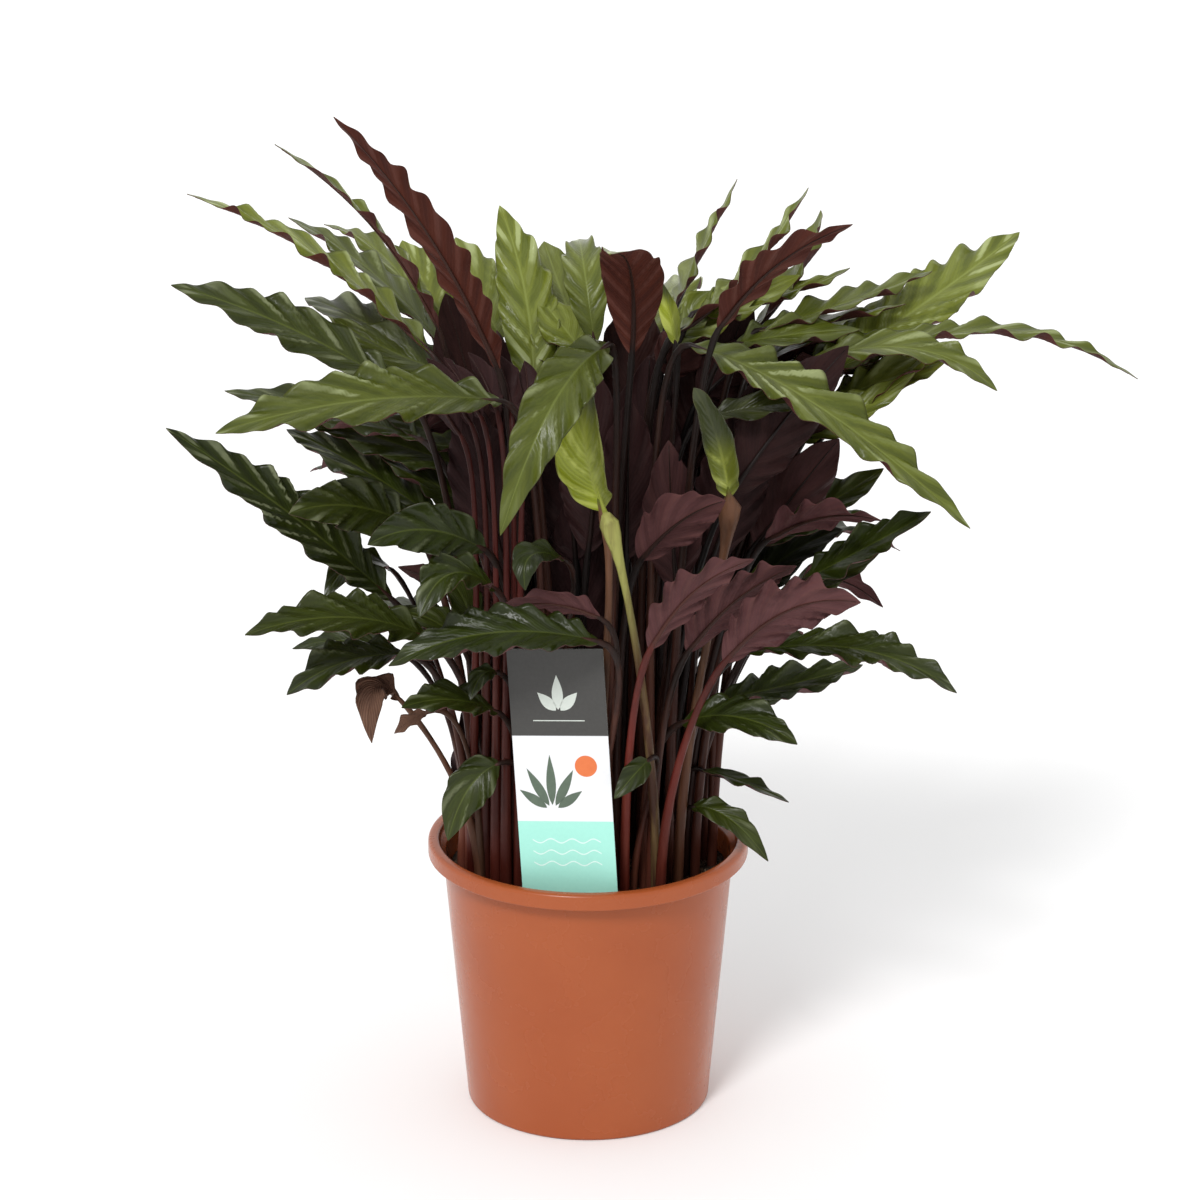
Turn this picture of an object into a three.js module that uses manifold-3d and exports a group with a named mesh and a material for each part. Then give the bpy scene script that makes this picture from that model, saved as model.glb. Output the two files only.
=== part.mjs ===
// Potted velvet calathea: a clump of long wavy leaves on thin stalks in a plastic nursery pot
// filled with soil, with a plain card tag standing at the front. Millimetres, +Z up, front is -Y,
// origin at the centre of the pot's underside.
import * as THREE from 'three';
import Module from 'manifold-3d';

const wasm = await Module();
wasm.setup();
const { Manifold, Mesh: SolidMesh } = wasm;

const GAP = 0.35; // between neighbouring bodies

// Pot
const POT_SEGMENTS = 40;
const RIM_RADIUS = 95;
const RIM_TOP = 166;
const WALL_FOOT_RADIUS = 70.4; // inner wall at the floor
const WALL_HEAD_RADIUS = 84.4; // inner wall under the rim
const WALL_HEAD_HEIGHT = 157.5;
const FLOOR_TOP = 2.2;
const DRAIN_RADIUS = 4.5;
const DRAIN_RING_RADIUS = 48;
const DRAIN_COUNT = 6;
const DRAIN_SIDES = 8;

// Soil
const SOIL_TOP = 146;
const STEM_DEPTH = 22; // a stalk goes this far into the soil
const ROOT_SPACING = 10.5;
const ROOT_RING_RADIUS = 75; // no stalk stands further out than this
const ROOT_SHARE = 0.62; // a stalk stands at this share of its blade base's distance from the axis
const ROOT_TRIES = 4; // free places that are tried for a stalk
const ROOT_TAG_ROOM = 7; // between a stalk's middle and the tag
const ROOT_ROWS = 8; // rows of places each side of the middle one

// Tag
const TAG_WIDTH = 56;
const TAG_TOP = 307.5;
const TAG_FOOT = 118;
const TAG_THICKNESS = 0.8;
const TAG_CORNER = 1;
const TAG_LEAN = THREE.MathUtils.degToRad(3.4);
const TAG_TURN = THREE.MathUtils.degToRad(-10);
const TAG_FOOT_X = -8;
const TAG_FOOT_Y = -71;

// Leaves
const BLADE_THICKNESS = 1.05;
const WAVE_SHARE = 0.1; // height of a wave at the margin, as a share of the leaf's width
const FOLD = THREE.MathUtils.degToRad(12); // each half rises this much from the midrib
const YOUNG_FOLD = THREE.MathUtils.degToRad(45);
const HALF_WAVE = 16; // length of half a wave along the margin
const FEWEST_SECTIONS = 5;
const MOST_SECTIONS = 13;
const STALK_STEPS = [0.5, 0.9]; // shares of the way up a stalk at which it has a section
const LARGE = { foot: 2.6, neck: 1.8 }; // radii of a stalk at the soil and under its blade
const SMALL = { foot: 2.1, neck: 1.4 };
const SMALL_WIDTH = 27; // a leaf narrower than this has a small stalk
const SHARED_RISE = 9; // a leaf that shares a stalk leaves it this far above the soil
const SHARED_SHARE = 0.78; // and starts this share as thick
const NECK_BEND = 30; // length over which a stalk turns into its blade, at most
const NECK_SHARE = 0.3; // and at most this share of its height
const STRAIGHT_SHARE = 0.4; // a stalk sets out straight up, with this share of its height as pull
const STALK_RISE = 2; // a stalk is plain and upright to this far above the soil
const TIP_HALF_WIDTH = 0.9;
const HEX = 0.866; // half the width of a six-sided stalk whose radius is 1

// Where a leaf would cross another, its base and its tip are bent clear along the front-to-back
// line, and if that isn't enough the whole blade goes a little sideways
const LEAN_WAY = new THREE.Vector3(0, 0.946, -0.324);
const LEANS = [0, 12, -12, 24, -24, 36, -36, 48, -48, 60, -60];
const SIDESTEPS = [0, 8, -8, 16, -16];

const GREEN = 0x3e5a26;
const YOUNG_GREEN = 0x8d9a3f;
const BROWN = 0x5f3d26;
const TERRACOTTA = 0xb26242;
const SOIL_BROWN = 0x3a2b20;
const CARD_WHITE = 0xdfe6d8;

// Ways that a leaf's green side can face
const UP = [0, 0, 1];
const FRONT = [0, -1, 0.4];
const FRONT_UP = [0, -0.6, 1];
const TILTED = [0, -0.3, 1];
const EDGE_ON = [0, 0.15, 1];
const BACK = [0, 1, 0.2];
const BACK_UP = [0, 0.8, 0.6];
const LEFT_UP = [-0.7, 0, 0.7];
const LEFT_BACK = [-0.75, 0.1, 0.65];
const BACK_LEFT = [-0.3, 0.7, 0.5];
const BACK_RIGHT = [0.3, 0.7, 0.5];

// Each leaf: name, base of the blade, its middle, its tip, width, the way it faces, and
// whose stalk it shares, or what kind it is. The leaves seen first from the front come first.
const LEAVES = [
  ['front_hanging', [12, -55, 483], [-19, -115, 466], [-48, -135, 397], 33, FRONT],
  ['right_arching', [58, -35, 477], [130, -60, 448], [214, -90, 386], 38, TILTED],
  ['left_level', [-48, -45, 447], [-124, -80, 458], [-205, -110, 448], 42, FRONT_UP],
  ['left_level_behind', [-97, 20, 405], [-152, 60, 410], [-216, 90, 414], 34, TILTED, 'left_level'],
  ['left_tall', [-50, -35, 461], [-87, -55, 545], [-138, -85, 620], 27, BACK_RIGHT],
  ['left_tall_twin', [-85, 15, 471], [-121, 5, 535], [-176, -5, 586], 26, UP],
  ['left_high', [-89, 15, 457], [-156, 45, 508], [-233, 70, 539], 32, EDGE_ON],
  ['left_high_edge', [-82, 50, 450], [-127, 85, 488], [-178, 125, 511], 28, EDGE_ON],
  ['left_high_far', [-92, 80, 454], [-121, 120, 488], [-159, 160, 498], 24, EDGE_ON, 'left_high_edge'],
  ['left_dark', [-105, -5, 441], [-171, -10, 481], [-236, -15, 507], 34, FRONT_UP],
  ['left_dark_behind', [-86, 40, 440], [-131, 75, 460], [-169, 120, 463], 34, TILTED, 'left_high'],
  ['left_low_glossy', [-113, -20, 320], [-170, -30, 375], [-239, -40, 430], 36, FRONT_UP],
  ['left_low_small', [-115, 20, 325], [-135, -10, 340], [-152, -35, 326], 22, FRONT_UP, 'left_low_glossy'],
  ['left_mid', [-102, -10, 362], [-135, -50, 387], [-167, -90, 395], 32, FRONT],
  ['left_mid_behind', [-95, 30, 352], [-144, 55, 378], [-187, 80, 393], 32, TILTED, 'left_mid'],
  ['left_mid_front', [-58, -50, 360], [-91, -85, 384], [-122, -115, 385], 30, FRONT],
  ['left_low', [-91, -35, 301], [-138, -65, 325], [-193, -95, 325], 34, FRONT_UP],
  ['left_under', [-103, -20, 286], [-139, -45, 291], [-172, -70, 280], 32, TILTED],
  ['left_under_thin', [-110, 0, 281], [-142, 0, 288], [-173, 0, 283], 16, FRONT_UP, 'left_under'],
  ['front_low_long', [7, -88, 318], [-55, -98, 327], [-112, -105, 310], 34, FRONT_UP],
  ['front_low_strip', [7, -75, 328], [-21, -82, 339], [-52, -90, 338], 22, BACK_UP, 'front_low_long'],
  ['front_left_curled', [-52, -70, 343], [-77, -95, 361], [-94, -115, 342], 28, FRONT_UP],
  ['front_left_bud', [-13, -70, 361], [-32, -90, 370], [-35, -100, 353], 20, FRONT_UP, 'front_left_curled'],
  ['left_dried', [-109, -30, 262], [-124, -40, 272], [-125, -50, 243], 20, FRONT_UP, '', 'brown'],
  ['dried_bit', [-93, -30, 255], [-103, -40, 253], [-112, -45, 247], 10, FRONT_UP, 'left_dried', 'brown'],
  ['front_small', [-52, -70, 269], [-78, -90, 284], [-105, -105, 285], 26, FRONT_UP],
  ['front_small_bit', [-44, -60, 290], [-53, -70, 291], [-59, -80, 280], 13, FRONT_UP, 'front_small'],
  ['tag_left', [-43, -75, 239], [-61, -85, 227], [-73, -90, 197], 26, FRONT, 'left_mid_front'],
  ['tag_right', [35, -70, 240], [26, -82, 235], [15, -90, 224], 15, FRONT],
  ['rim_right', [60, -30, 195], [82, -40, 192], [105, -50, 169], 18, FRONT_UP],
  ['rim_right_edge', [66, -20, 215], [92, -30, 210], [117, -40, 202], 16, UP, 'rim_right'],
  ['right_low', [54, -50, 255], [86, -70, 266], [119, -90, 257], 30, FRONT_UP],
  ['right_lit', [91, -35, 293], [156, -65, 305], [209, -90, 288], 32, TILTED],
  ['right_under', [76, -20, 258], [120, -15, 266], [162, -10, 276], 30, TILTED, 'right_lit'],
  ['front_right_rising', [77, -80, 303], [112, -105, 343], [151, -130, 356], 36, BACK],
  ['front_right_dark', [57, -60, 302], [84, -75, 339], [117, -90, 364], 32, BACK_UP],
  ['front_red_stalk', [35, -90, 314], [59, -105, 354], [92, -120, 378], 27, BACK_UP],
  ['middle_dark', [30, -50, 354], [52, -70, 384], [77, -85, 401], 34, BACK],
  ['right_mid_high', [100, 0, 347], [137, 15, 365], [173, 30, 384], 28, FRONT_UP],
  ['right_mid_small', [93, 30, 348], [111, 60, 350], [132, 80, 349], 24, FRONT_UP, 'right_mid_high'],
  ['right_mid_maroon', [103, -40, 363], [134, -55, 382], [165, -75, 386], 28, BACK_UP],
  ['right_mid', [123, -30, 334], [159, -40, 358], [195, -50, 383], 30, FRONT_UP],
  ['right_mid_curled', [119, 10, 316], [146, 20, 319], [173, 10, 305], 24, BACK_UP, 'right_mid'],
  ['right_far', [122, 5, 440], [225, 15, 471], [317, 10, 444], 27, UP],
  ['right_wide', [128, 20, 440], [200, 75, 473], [259, 140, 498], 40, FRONT_UP],
  ['right_far_small', [140, -5, 458], [200, -25, 472], [247, -45, 453], 28, TILTED, 'right_far'],
  ['right_strip', [97, 20, 470], [150, 45, 480], [202, 75, 491], 28, UP],
  ['right_over', [105, 30, 446], [148, 55, 462], [190, 80, 468], 28, UP, 'right_wide'],
  ['right_tall', [73, -45, 488], [104, -65, 531], [145, -90, 561], 27, BACK_LEFT],
  ['right_tall_green', [96, 45, 464], [124, 75, 491], [138, 110, 519], 28, LEFT_UP],
  ['right_fill', [100, 5, 432], [136, 15, 448], [176, 20, 452], 28, TILTED, 'right_tall_green'],
  ['top_right_long', [50, 0, 474], [93, 30, 503], [128, 60, 545], 30, LEFT_UP],
  ['top_right_narrow', [47, 40, 471], [66, 85, 498], [89, 130, 533], 26, LEFT_BACK],
  ['top_bud', [50, -20, 473], [46, -15, 491], [40, -10, 509], 12, FRONT, 'top_right_long', 'young'],
  ['top_front', [25, -30, 470], [24, -59, 526], [12, -128, 554], 36, UP],
  ['top_face', [-31, 10, 431], [-36, 60, 479], [-52, 110, 522], 35, FRONT_UP],
  ['top_back', [-4, 50, 453], [-16, 90, 476], [-26, 130, 495], 36, FRONT_UP],
  ['top_round', [4, 25, 460], [-2, 45, 501], [-5, 100, 504], 26, FRONT, 'top_back'],
  ['top_left', [-51, 60, 454], [-65, 95, 475], [-79, 140, 495], 38, FRONT_UP],
  ['top_left_light', [-81, 70, 457], [-97, 110, 474], [-112, 160, 488], 34, FRONT_UP, 'top_left'],
  ['young_middle', [8, -90, 397], [-2, -84, 436], [1, -62, 469], 40, FRONT, '', 'young'],
  ['young_right', [80, -70, 398], [72, -75, 436], [59, -80, 465], 28, FRONT, '', 'young'],
  ['middle_inner', [47, 10, 310], [39, 0, 374], [46, -10, 438], 44, BACK],
  ['right_inner', [74, 0, 393], [104, 0, 411], [137, 0, 417], 34, BACK_UP],
  ['right_inner_strip', [67, -40, 436], [100, -50, 446], [131, -60, 452], 20, FRONT_UP, 'right_inner'],
  ['right_upper_strip', [120, 45, 422], [154, 60, 440], [186, 75, 446], 28, TILTED],
  ['inner_left', [-45, -20, 330], [-60, -15, 390], [-70, -5, 440], 42, BACK],
  ['inner_left_top', [-60, 20, 400], [-70, 25, 445], [-82, 30, 490], 40, BACK, 'inner_left'],
  ['left_mid_upper', [-60, 10, 390], [-110, 30, 402], [-165, 45, 415], 34, FRONT_UP, 'inner_left'],
  ['inner_left_high', [-30, 0, 345], [-35, 8, 392], [-44, 16, 440], 42, BACK, 'inner_left'],
  ['inner_middle', [0, -10, 345], [4, 0, 400], [2, 10, 452], 42, BACK],
  ['inner_right', [70, -20, 340], [85, -20, 395], [95, -15, 450], 42, BACK],
  ['right_inner_dark', [80, 0, 375], [112, 5, 420], [148, 10, 462], 42, BACK, 'right_inner'],
  ['inner_right_high', [60, 10, 390], [75, 15, 440], [95, 25, 490], 42, BACK],
  ['inner_back_left', [-60, 40, 320], [-75, 50, 375], [-90, 60, 430], 42, BACK_UP],
  ['inner_back', [-10, 50, 330], [-10, 60, 390], [-15, 70, 450], 42, BACK],
  ['inner_back_right', [40, 50, 320], [50, 60, 380], [60, 75, 440], 42, BACK],
  ['inner_top_back', [20, 45, 395], [25, 55, 440], [30, 65, 485], 42, BACK, 'inner_back'],
  ['inner_low_centre', [-5, 20, 250], [-6, 30, 310], [-10, 42, 365], 42, BACK, 'inner_middle'],
  ['inner_low_front', [35, 20, 240], [38, 30, 295], [44, 42, 345], 40, BACK, 'middle_inner'],
  ['inner_low_left', [-60, 50, 260], [-70, 60, 320], [-85, 70, 375], 40, BACK, 'inner_back_left'],
  ['inner_low_middle', [18, 55, 280], [22, 65, 340], [28, 80, 400], 42, BACK, 'inner_middle'],
  ['inner_low_right', [55, 55, 270], [65, 65, 330], [80, 75, 385], 42, BACK, 'inner_back_right'],
  ['right_inner_low', [85, 15, 300], [115, 25, 330], [150, 35, 345], 32, FRONT_UP, 'right_inner'],
  ['right_upper', [140, 0, 417], [175, 10, 441], [214, 20, 464], 26, EDGE_ON, 'inner_right'],
  ['back_high_left', [-55, 70, 430], [-85, 130, 465], [-115, 195, 470], 38, UP],
  ['back_high', [-15, 75, 440], [-25, 140, 470], [-35, 205, 465], 40, UP],
  ['back_high_right', [35, 75, 435], [55, 135, 460], [75, 195, 450], 38, UP],
  ['back_right_upper', [80, 60, 400], [120, 115, 420], [160, 170, 405], 38, UP],
  ['back_left_middle', [-75, 50, 350], [-120, 100, 365], [-170, 150, 345], 38, UP],
  ['back_middle_left', [-35, 75, 360], [-55, 140, 375], [-80, 205, 345], 38, UP, 'back_high_left'],
  ['back_middle', [10, 80, 370], [15, 150, 385], [20, 215, 355], 38, UP, 'back_high'],
  ['back_middle_right', [55, 70, 350], [85, 130, 360], [120, 190, 335], 38, UP, 'back_high_right'],
  ['back_right_middle', [95, 40, 320], [140, 80, 330], [190, 115, 305], 36, UP, 'back_right_upper'],
  ['back_low_left', [-75, 45, 270], [-115, 80, 280], [-160, 115, 255], 34, UP, 'back_left_middle'],
  ['back_low', [-35, 65, 285], [-50, 120, 290], [-70, 175, 260], 34, UP],
  ['back_low_middle', [20, 70, 290], [30, 125, 295], [40, 185, 265], 34, UP, 'back_low'],
  ['back_low_right', [65, 50, 260], [100, 90, 265], [140, 130, 240], 34, UP, 'back_high_right'],
];

function vec(numbers) {
  return new THREE.Vector3(...numbers);
}

// Curves: a leaf's stalk rises from the soil to the blade, and the blade runs on to the tip

function quadratic(a, b, c, t) {
  const s = 1 - t;
  const point = a.clone().multiplyScalar(s * s);
  point.addScaledVector(b, 2 * s * t).addScaledVector(c, t * t);
  const along = b.clone().sub(a).multiplyScalar(2 * s);
  along.addScaledVector(c.clone().sub(b), 2 * t);
  return [point, along.normalize()];
}

function cubic(a, b, c, d, t) {
  const s = 1 - t;
  const point = a.clone().multiplyScalar(s * s * s);
  point.addScaledVector(b, 3 * s * s * t).addScaledVector(c, 3 * s * t * t);
  point.addScaledVector(d, t * t * t);
  const along = b.clone().sub(a).multiplyScalar(s * s);
  along.addScaledVector(c.clone().sub(b), 2 * s * t);
  along.addScaledVector(d.clone().sub(c), t * t);
  return [point, along.normalize()];
}

function acrossTo(direction, along) {
  return direction.clone().addScaledVector(along, -direction.dot(along)).normalize();
}

// Share of the full width at u along the blade: round near the base, long and fine at the tip
function outline(u) {
  return Math.pow(Math.sin(Math.PI * Math.pow(u, 0.85)), 0.8);
}

// How many sections a blade has, so that each holds half a wave
function bladeCount(leaf) {
  const length = leaf.base.distanceTo(leaf.middle) + leaf.middle.distanceTo(leaf.tip);
  return THREE.MathUtils.clamp(Math.round(length / HALF_WAVE), FEWEST_SECTIONS, MOST_SECTIONS);
}

// The sections of one leaf from its foot in the soil to its tip. Each section holds its centre,
// its frame and its six corners: left, middle and right on top, then right, middle and left below.
function leafSections(leaf, root, [baseLean, tipLean, sidestep]) {
  const make = leaf.width < SMALL_WIDTH ? SMALL : LARGE;
  const aside = new THREE.Vector3(sidestep, 0, 0);
  const bent = (point, lean) => point.clone().addScaledVector(LEAN_WAY, lean).add(aside);
  const base = bent(leaf.base, baseLean);
  const tip = bent(leaf.tip, tipLean);
  const middle = bent(leaf.middle, (baseLean + tipLean) / 2);
  const pull = middle.clone().multiplyScalar(2);
  pull.addScaledVector(base, -0.5).addScaledVector(tip, -0.5);
  const sections = [];

  const fold = leaf.kind === 'young' ? YOUNG_FOLD : FOLD;
  const count = bladeCount(leaf);
  for (let i = 0; i <= count; i += 1) {
    const u = i / count;
    const [centre, along] = quadratic(base, pull, tip, u);
    const face = acrossTo(leaf.face, along);
    const swell = outline(u);
    const half = Math.max((leaf.width / 2) * swell, i === 0 ? HEX * make.neck : TIP_HALF_WIDTH);
    const wave = (i % 2 ? 1 : -1) * WAVE_SHARE * leaf.width * Math.sqrt(swell);
    const open = i === 0 || i === count ? 0 : 1;
    sections.push({
      centre,
      along,
      face,
      half: half * Math.cos(fold * open),
      lift: open * (half * Math.sin(fold) + wave),
      margin: i === 0 ? make.neck : BLADE_THICKNESS,
      above: i === 0 ? make.neck : BLADE_THICKNESS / 2,
      below: THREE.MathUtils.lerp(make.neck, BLADE_THICKNESS / 2, Math.sqrt(u)),
    });
  }

  const soilPoint = new THREE.Vector3(root.x, root.y, SOIL_TOP + (leaf.host ? SHARED_RISE : STALK_RISE));
  const start = sections[0].along;
  const rise = base.distanceTo(soilPoint);
  const lower = soilPoint.clone().add(new THREE.Vector3(0, 0, rise * STRAIGHT_SHARE));
  const upper = base.clone().addScaledVector(start, -Math.min(NECK_BEND, rise * NECK_SHARE));
  const upright = new THREE.Vector3(0, 0, 1);
  const stalk = [[soilPoint, upright, 0]];
  if (!leaf.host) {
    stalk.unshift([soilPoint.clone().setZ(SOIL_TOP - STEM_DEPTH), upright, 0]);
  }
  for (const t of STALK_STEPS) {
    stalk.push([...cubic(soilPoint, lower, upper, base, t), t]);
  }
  let face = sections[0].face;
  for (const [centre, along, t] of stalk.reverse()) {
    face = acrossTo(face, along);
    const foot = leaf.host ? make.foot * SHARED_SHARE : make.foot;
    const radius = THREE.MathUtils.lerp(foot, make.neck, t);
    sections.unshift({
      centre,
      along,
      face,
      half: HEX * radius,
      lift: 0,
      margin: radius,
      above: radius,
      below: radius,
    });
  }
  for (const section of sections) {
    section.corners = corners(section, 0);
  }
  return sections;
}

function corners(section, grown) {
  const side = section.along.clone().cross(section.face);
  const { half, lift, margin, above, below } = section;
  const edge = margin / 2 + grown / 2;
  const places = [
    [-half - HEX * grown, lift + edge],
    [0, above + grown],
    [half + HEX * grown, lift + edge],
    [half + HEX * grown, lift - edge],
    [0, -below - grown],
    [-half - HEX * grown, lift - edge],
  ];
  return places.map(([across, up]) =>
    section.centre.clone().addScaledVector(side, across).addScaledVector(section.face, up),
  );
}

// A closed skin over six-cornered rings. The upper and lower faces are split along the same
// diagonals, so that a waved blade keeps its thickness.
function skin(rings) {
  const points = rings.flat();
  const triangles = [];
  const sides = 6;
  for (let ring = 0; ring + 1 < rings.length; ring += 1) {
    for (let k = 0; k < sides; k += 1) {
      const a = ring * sides + k;
      const b = ring * sides + ((k + 1) % sides);
      const c = a + sides;
      const d = b + sides;
      if (k === 1 || k === 4) {
        triangles.push([a, b, c], [b, d, c]);
      } else {
        triangles.push([a, b, d], [a, d, c]);
      }
    }
  }
  const last = (rings.length - 1) * sides;
  for (let k = 1; k + 1 < sides; k += 1) {
    triangles.push([0, k + 1, k], [last, last + k, last + k + 1]);
  }
  return { points, triangles };
}

function solidOf({ points, triangles }) {
  const mesh = new SolidMesh({
    numProp: 3,
    vertProperties: new Float32Array(points.flatMap((p) => [p.x, p.y, p.z])),
    triVerts: new Uint32Array(triangles.flat()),
  });
  return new Manifold(mesh);
}

function geometryOf(solid) {
  const mesh = solid.getMesh();
  const geometry = new THREE.BufferGeometry();
  const points = Float32Array.from(mesh.vertProperties);
  geometry.setAttribute('position', new THREE.BufferAttribute(points, 3));
  geometry.setIndex(new THREE.BufferAttribute(Uint32Array.from(mesh.triVerts), 1));
  return geometry;
}

// A closed body turned about Z from a profile of [radius, height] that starts and ends on the axis
function turned(profile, segments) {
  const points = [];
  const rows = [];
  for (const [radius, height] of profile) {
    if (radius === 0) {
      rows.push([points.length]);
      points.push(new THREE.Vector3(0, 0, height));
      continue;
    }
    const row = [];
    for (let i = 0; i < segments; i += 1) {
      const angle = (2 * Math.PI * i) / segments;
      row.push(points.length);
      points.push(new THREE.Vector3(radius * Math.cos(angle), radius * Math.sin(angle), height));
    }
    rows.push(row);
  }
  const triangles = [];
  for (let r = 0; r + 1 < rows.length; r += 1) {
    for (let i = 0; i < segments; i += 1) {
      const a = rows[r][i % rows[r].length];
      const b = rows[r][(i + 1) % rows[r].length];
      const c = rows[r + 1][i % rows[r + 1].length];
      const d = rows[r + 1][(i + 1) % rows[r + 1].length];
      if (a !== b) {
        triangles.push([a, b, c]);
      }
      if (c !== d) {
        triangles.push([b, d, c]);
      }
    }
  }
  return solidOf({ points, triangles });
}

// Straight column with the given outline, from one height to another
function column(outlinePoints, from, to) {
  const count = outlinePoints.length;
  const points = [];
  for (const z of [from, to]) {
    for (const [x, y] of outlinePoints) {
      points.push(new THREE.Vector3(x, y, z));
    }
  }
  const triangles = [];
  for (let i = 0; i < count; i += 1) {
    const j = (i + 1) % count;
    triangles.push([i, j, count + i], [j, count + j, count + i]);
  }
  for (let i = 1; i + 1 < count; i += 1) {
    triangles.push([0, i + 1, i], [count, count + i, count + i + 1]);
  }
  return solidOf({ points, triangles });
}

function potSolid() {
  const profile = [
    [0, 0],
    [70.5, 0],
    [72.5, 1.5],
    [86.4, 158],
    [90.6, 163.2],
    [93, 163.2],
    [93, 156.4],
    [94.2, 156],
    [RIM_RADIUS, 157],
    [RIM_RADIUS, RIM_TOP - 1.2],
    [94, RIM_TOP],
    [89.6, RIM_TOP],
    [88.6, RIM_TOP - 0.9],
    [88.4, 163],
    [WALL_HEAD_RADIUS, WALL_HEAD_HEIGHT],
    [WALL_FOOT_RADIUS, FLOOR_TOP],
    [0, FLOOR_TOP],
  ];
  let pot = turned(profile, POT_SEGMENTS);
  for (let i = 0; i < DRAIN_COUNT; i += 1) {
    const turn = (2 * Math.PI * (i + 0.5)) / DRAIN_COUNT;
    const ring = [];
    for (let k = 0; k < DRAIN_SIDES; k += 1) {
      const angle = (2 * Math.PI * k) / DRAIN_SIDES;
      ring.push([
        DRAIN_RING_RADIUS * Math.cos(turn) + DRAIN_RADIUS * Math.cos(angle),
        DRAIN_RING_RADIUS * Math.sin(turn) + DRAIN_RADIUS * Math.sin(angle),
      ]);
    }
    pot = pot.subtract(column(ring, -1, FLOOR_TOP + 1));
  }
  return pot;
}

function wallRadius(height) {
  const slope = (WALL_HEAD_RADIUS - WALL_FOOT_RADIUS) / (WALL_HEAD_HEIGHT - FLOOR_TOP);
  return WALL_FOOT_RADIUS + slope * (height - FLOOR_TOP);
}

// The tag leans a little within its own upright plane, and its right side is turned to the front
function tagSolid(grown) {
  const half = TAG_WIDTH / 2 + grown;
  const low = TAG_FOOT - grown;
  const outlinePoints = [[-half, low], [half, low]];
  for (const [side, turn] of [[1, 0], [-1, 90]]) {
    for (const step of [0, 45, 90]) {
      const angle = THREE.MathUtils.degToRad(turn + step);
      outlinePoints.push([
        side * (half - TAG_CORNER) + TAG_CORNER * Math.cos(angle),
        TAG_TOP - TAG_CORNER + TAG_CORNER * Math.sin(angle),
      ]);
    }
  }
  const card = column(outlinePoints, -TAG_THICKNESS / 2 - grown, TAG_THICKNESS / 2 + grown);
  return card
    .rotate([90, 0, 0])
    .translate([0, 0, -TAG_FOOT])
    .rotate([0, -THREE.MathUtils.radToDeg(TAG_LEAN), 0])
    .rotate([0, 0, THREE.MathUtils.radToDeg(TAG_TURN)])
    .translate([TAG_FOOT_X, TAG_FOOT_Y, TAG_FOOT]);
}

// Places where stalks can stand: a triangular lattice over the soil, clear of the tag
function rootPlaces() {
  const places = [];
  const rowHeight = ROOT_SPACING * Math.sin(Math.PI / 3);
  for (let row = -ROOT_ROWS; row <= ROOT_ROWS; row += 1) {
    for (let place = -ROOT_ROWS; place <= ROOT_ROWS; place += 1) {
      const x = ROOT_SPACING * (place + (row % 2 ? 0.5 : 0));
      const y = rowHeight * row;
      const behindTag = y > TAG_FOOT_Y + ROOT_TAG_ROOM;
      const clearOfTag = behindTag || Math.abs(x - TAG_FOOT_X) > TAG_WIDTH / 2 + ROOT_TAG_ROOM;
      if (Math.hypot(x, y) <= ROOT_RING_RADIUS && clearOfTag) {
        places.push(new THREE.Vector3(x, y, 0));
      }
    }
  }
  return places;
}

function boxesMeet(a, b) {
  const low = a.min;
  const high = a.max;
  return [0, 1, 2].every((i) => low[i] - GAP <= b.max[i] && b.min[i] - GAP <= high[i]);
}

function isClear(solid, box, others) {
  return others.every((other) => !boxesMeet(box, other.box) || solid.minGap(other.solid, 1) >= GAP);
}

function aboveSoil(sections) {
  return sections.slice(2).every((section) =>
    section.corners.every((p) => p.z > SOIL_TOP + 1 || Math.hypot(p.x, p.y) > RIM_RADIUS + 2),
  );
}

const pot = potSolid();
const tag = tagSolid(0);
const places = rootPlaces();
const placed = [
  { name: 'pot', solid: pot, box: pot.boundingBox() },
  { name: 'tag', solid: tag, box: tag.boundingBox() },
];

const bends = LEANS.flatMap((a) => LEANS.flatMap((b) => SIDESTEPS.map((c) => [a, b, c])));
const effort = ([a, b, c]) => Math.abs(a) + Math.abs(b) + 2 * Math.abs(c);
bends.sort((p, q) => effort(p) - effort(q));

function rootTries(leaf) {
  const base = leaf.base.clone().setZ(0);
  if (leaf.host) {
    const host = placed.find((other) => other.name === leaf.host);
    return [host.root];
  }
  const wanted = base.multiplyScalar(ROOT_SHARE).clampLength(0, ROOT_RING_RADIUS);
  places.sort((p, q) => p.distanceTo(wanted) - q.distanceTo(wanted));
  return places.slice(0, ROOT_TRIES);
}

function place(leaf) {
  const sharesStalk = (other) => other.name === leaf.host || other.leaf?.host === leaf.host;
  const isKin = (other) => leaf.host !== '' && sharesStalk(other);
  const others = placed.filter((other) => !isKin(other));
  const kin = placed.filter(isKin);
  for (const bend of bends) {
    for (const root of rootTries(leaf)) {
      const sections = leafSections(leaf, root, bend);
      if (!aboveSoil(sections)) {
        continue;
      }
      const solid = solidOf(skin(sections.map((s) => s.corners)));
      if (!isClear(solid, solid.boundingBox(), others)) {
        continue;
      }
      const blade = solidOf(skin(sections.slice(-(bladeCount(leaf) + 1)).map((s) => s.corners)));
      if (!isClear(blade, blade.boundingBox(), kin)) {
        continue;
      }
      const at = places.indexOf(root);
      if (at >= 0) {
        places.splice(at, 1);
      }
      placed.push({ name: leaf.name, solid, box: solid.boundingBox(), root, leaf, sections });
      return;
    }
  }
  throw new Error(`${leaf.name} can't be bent clear of the others`);
}

for (const [name, base, middle, tip, width, face, host = '', kind = 'green'] of LEAVES) {
  const [from, through, to, facing] = [base, middle, tip, face].map(vec);
  place({ name, base: from, middle: through, tip: to, width, face: facing, host, kind });
}

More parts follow.
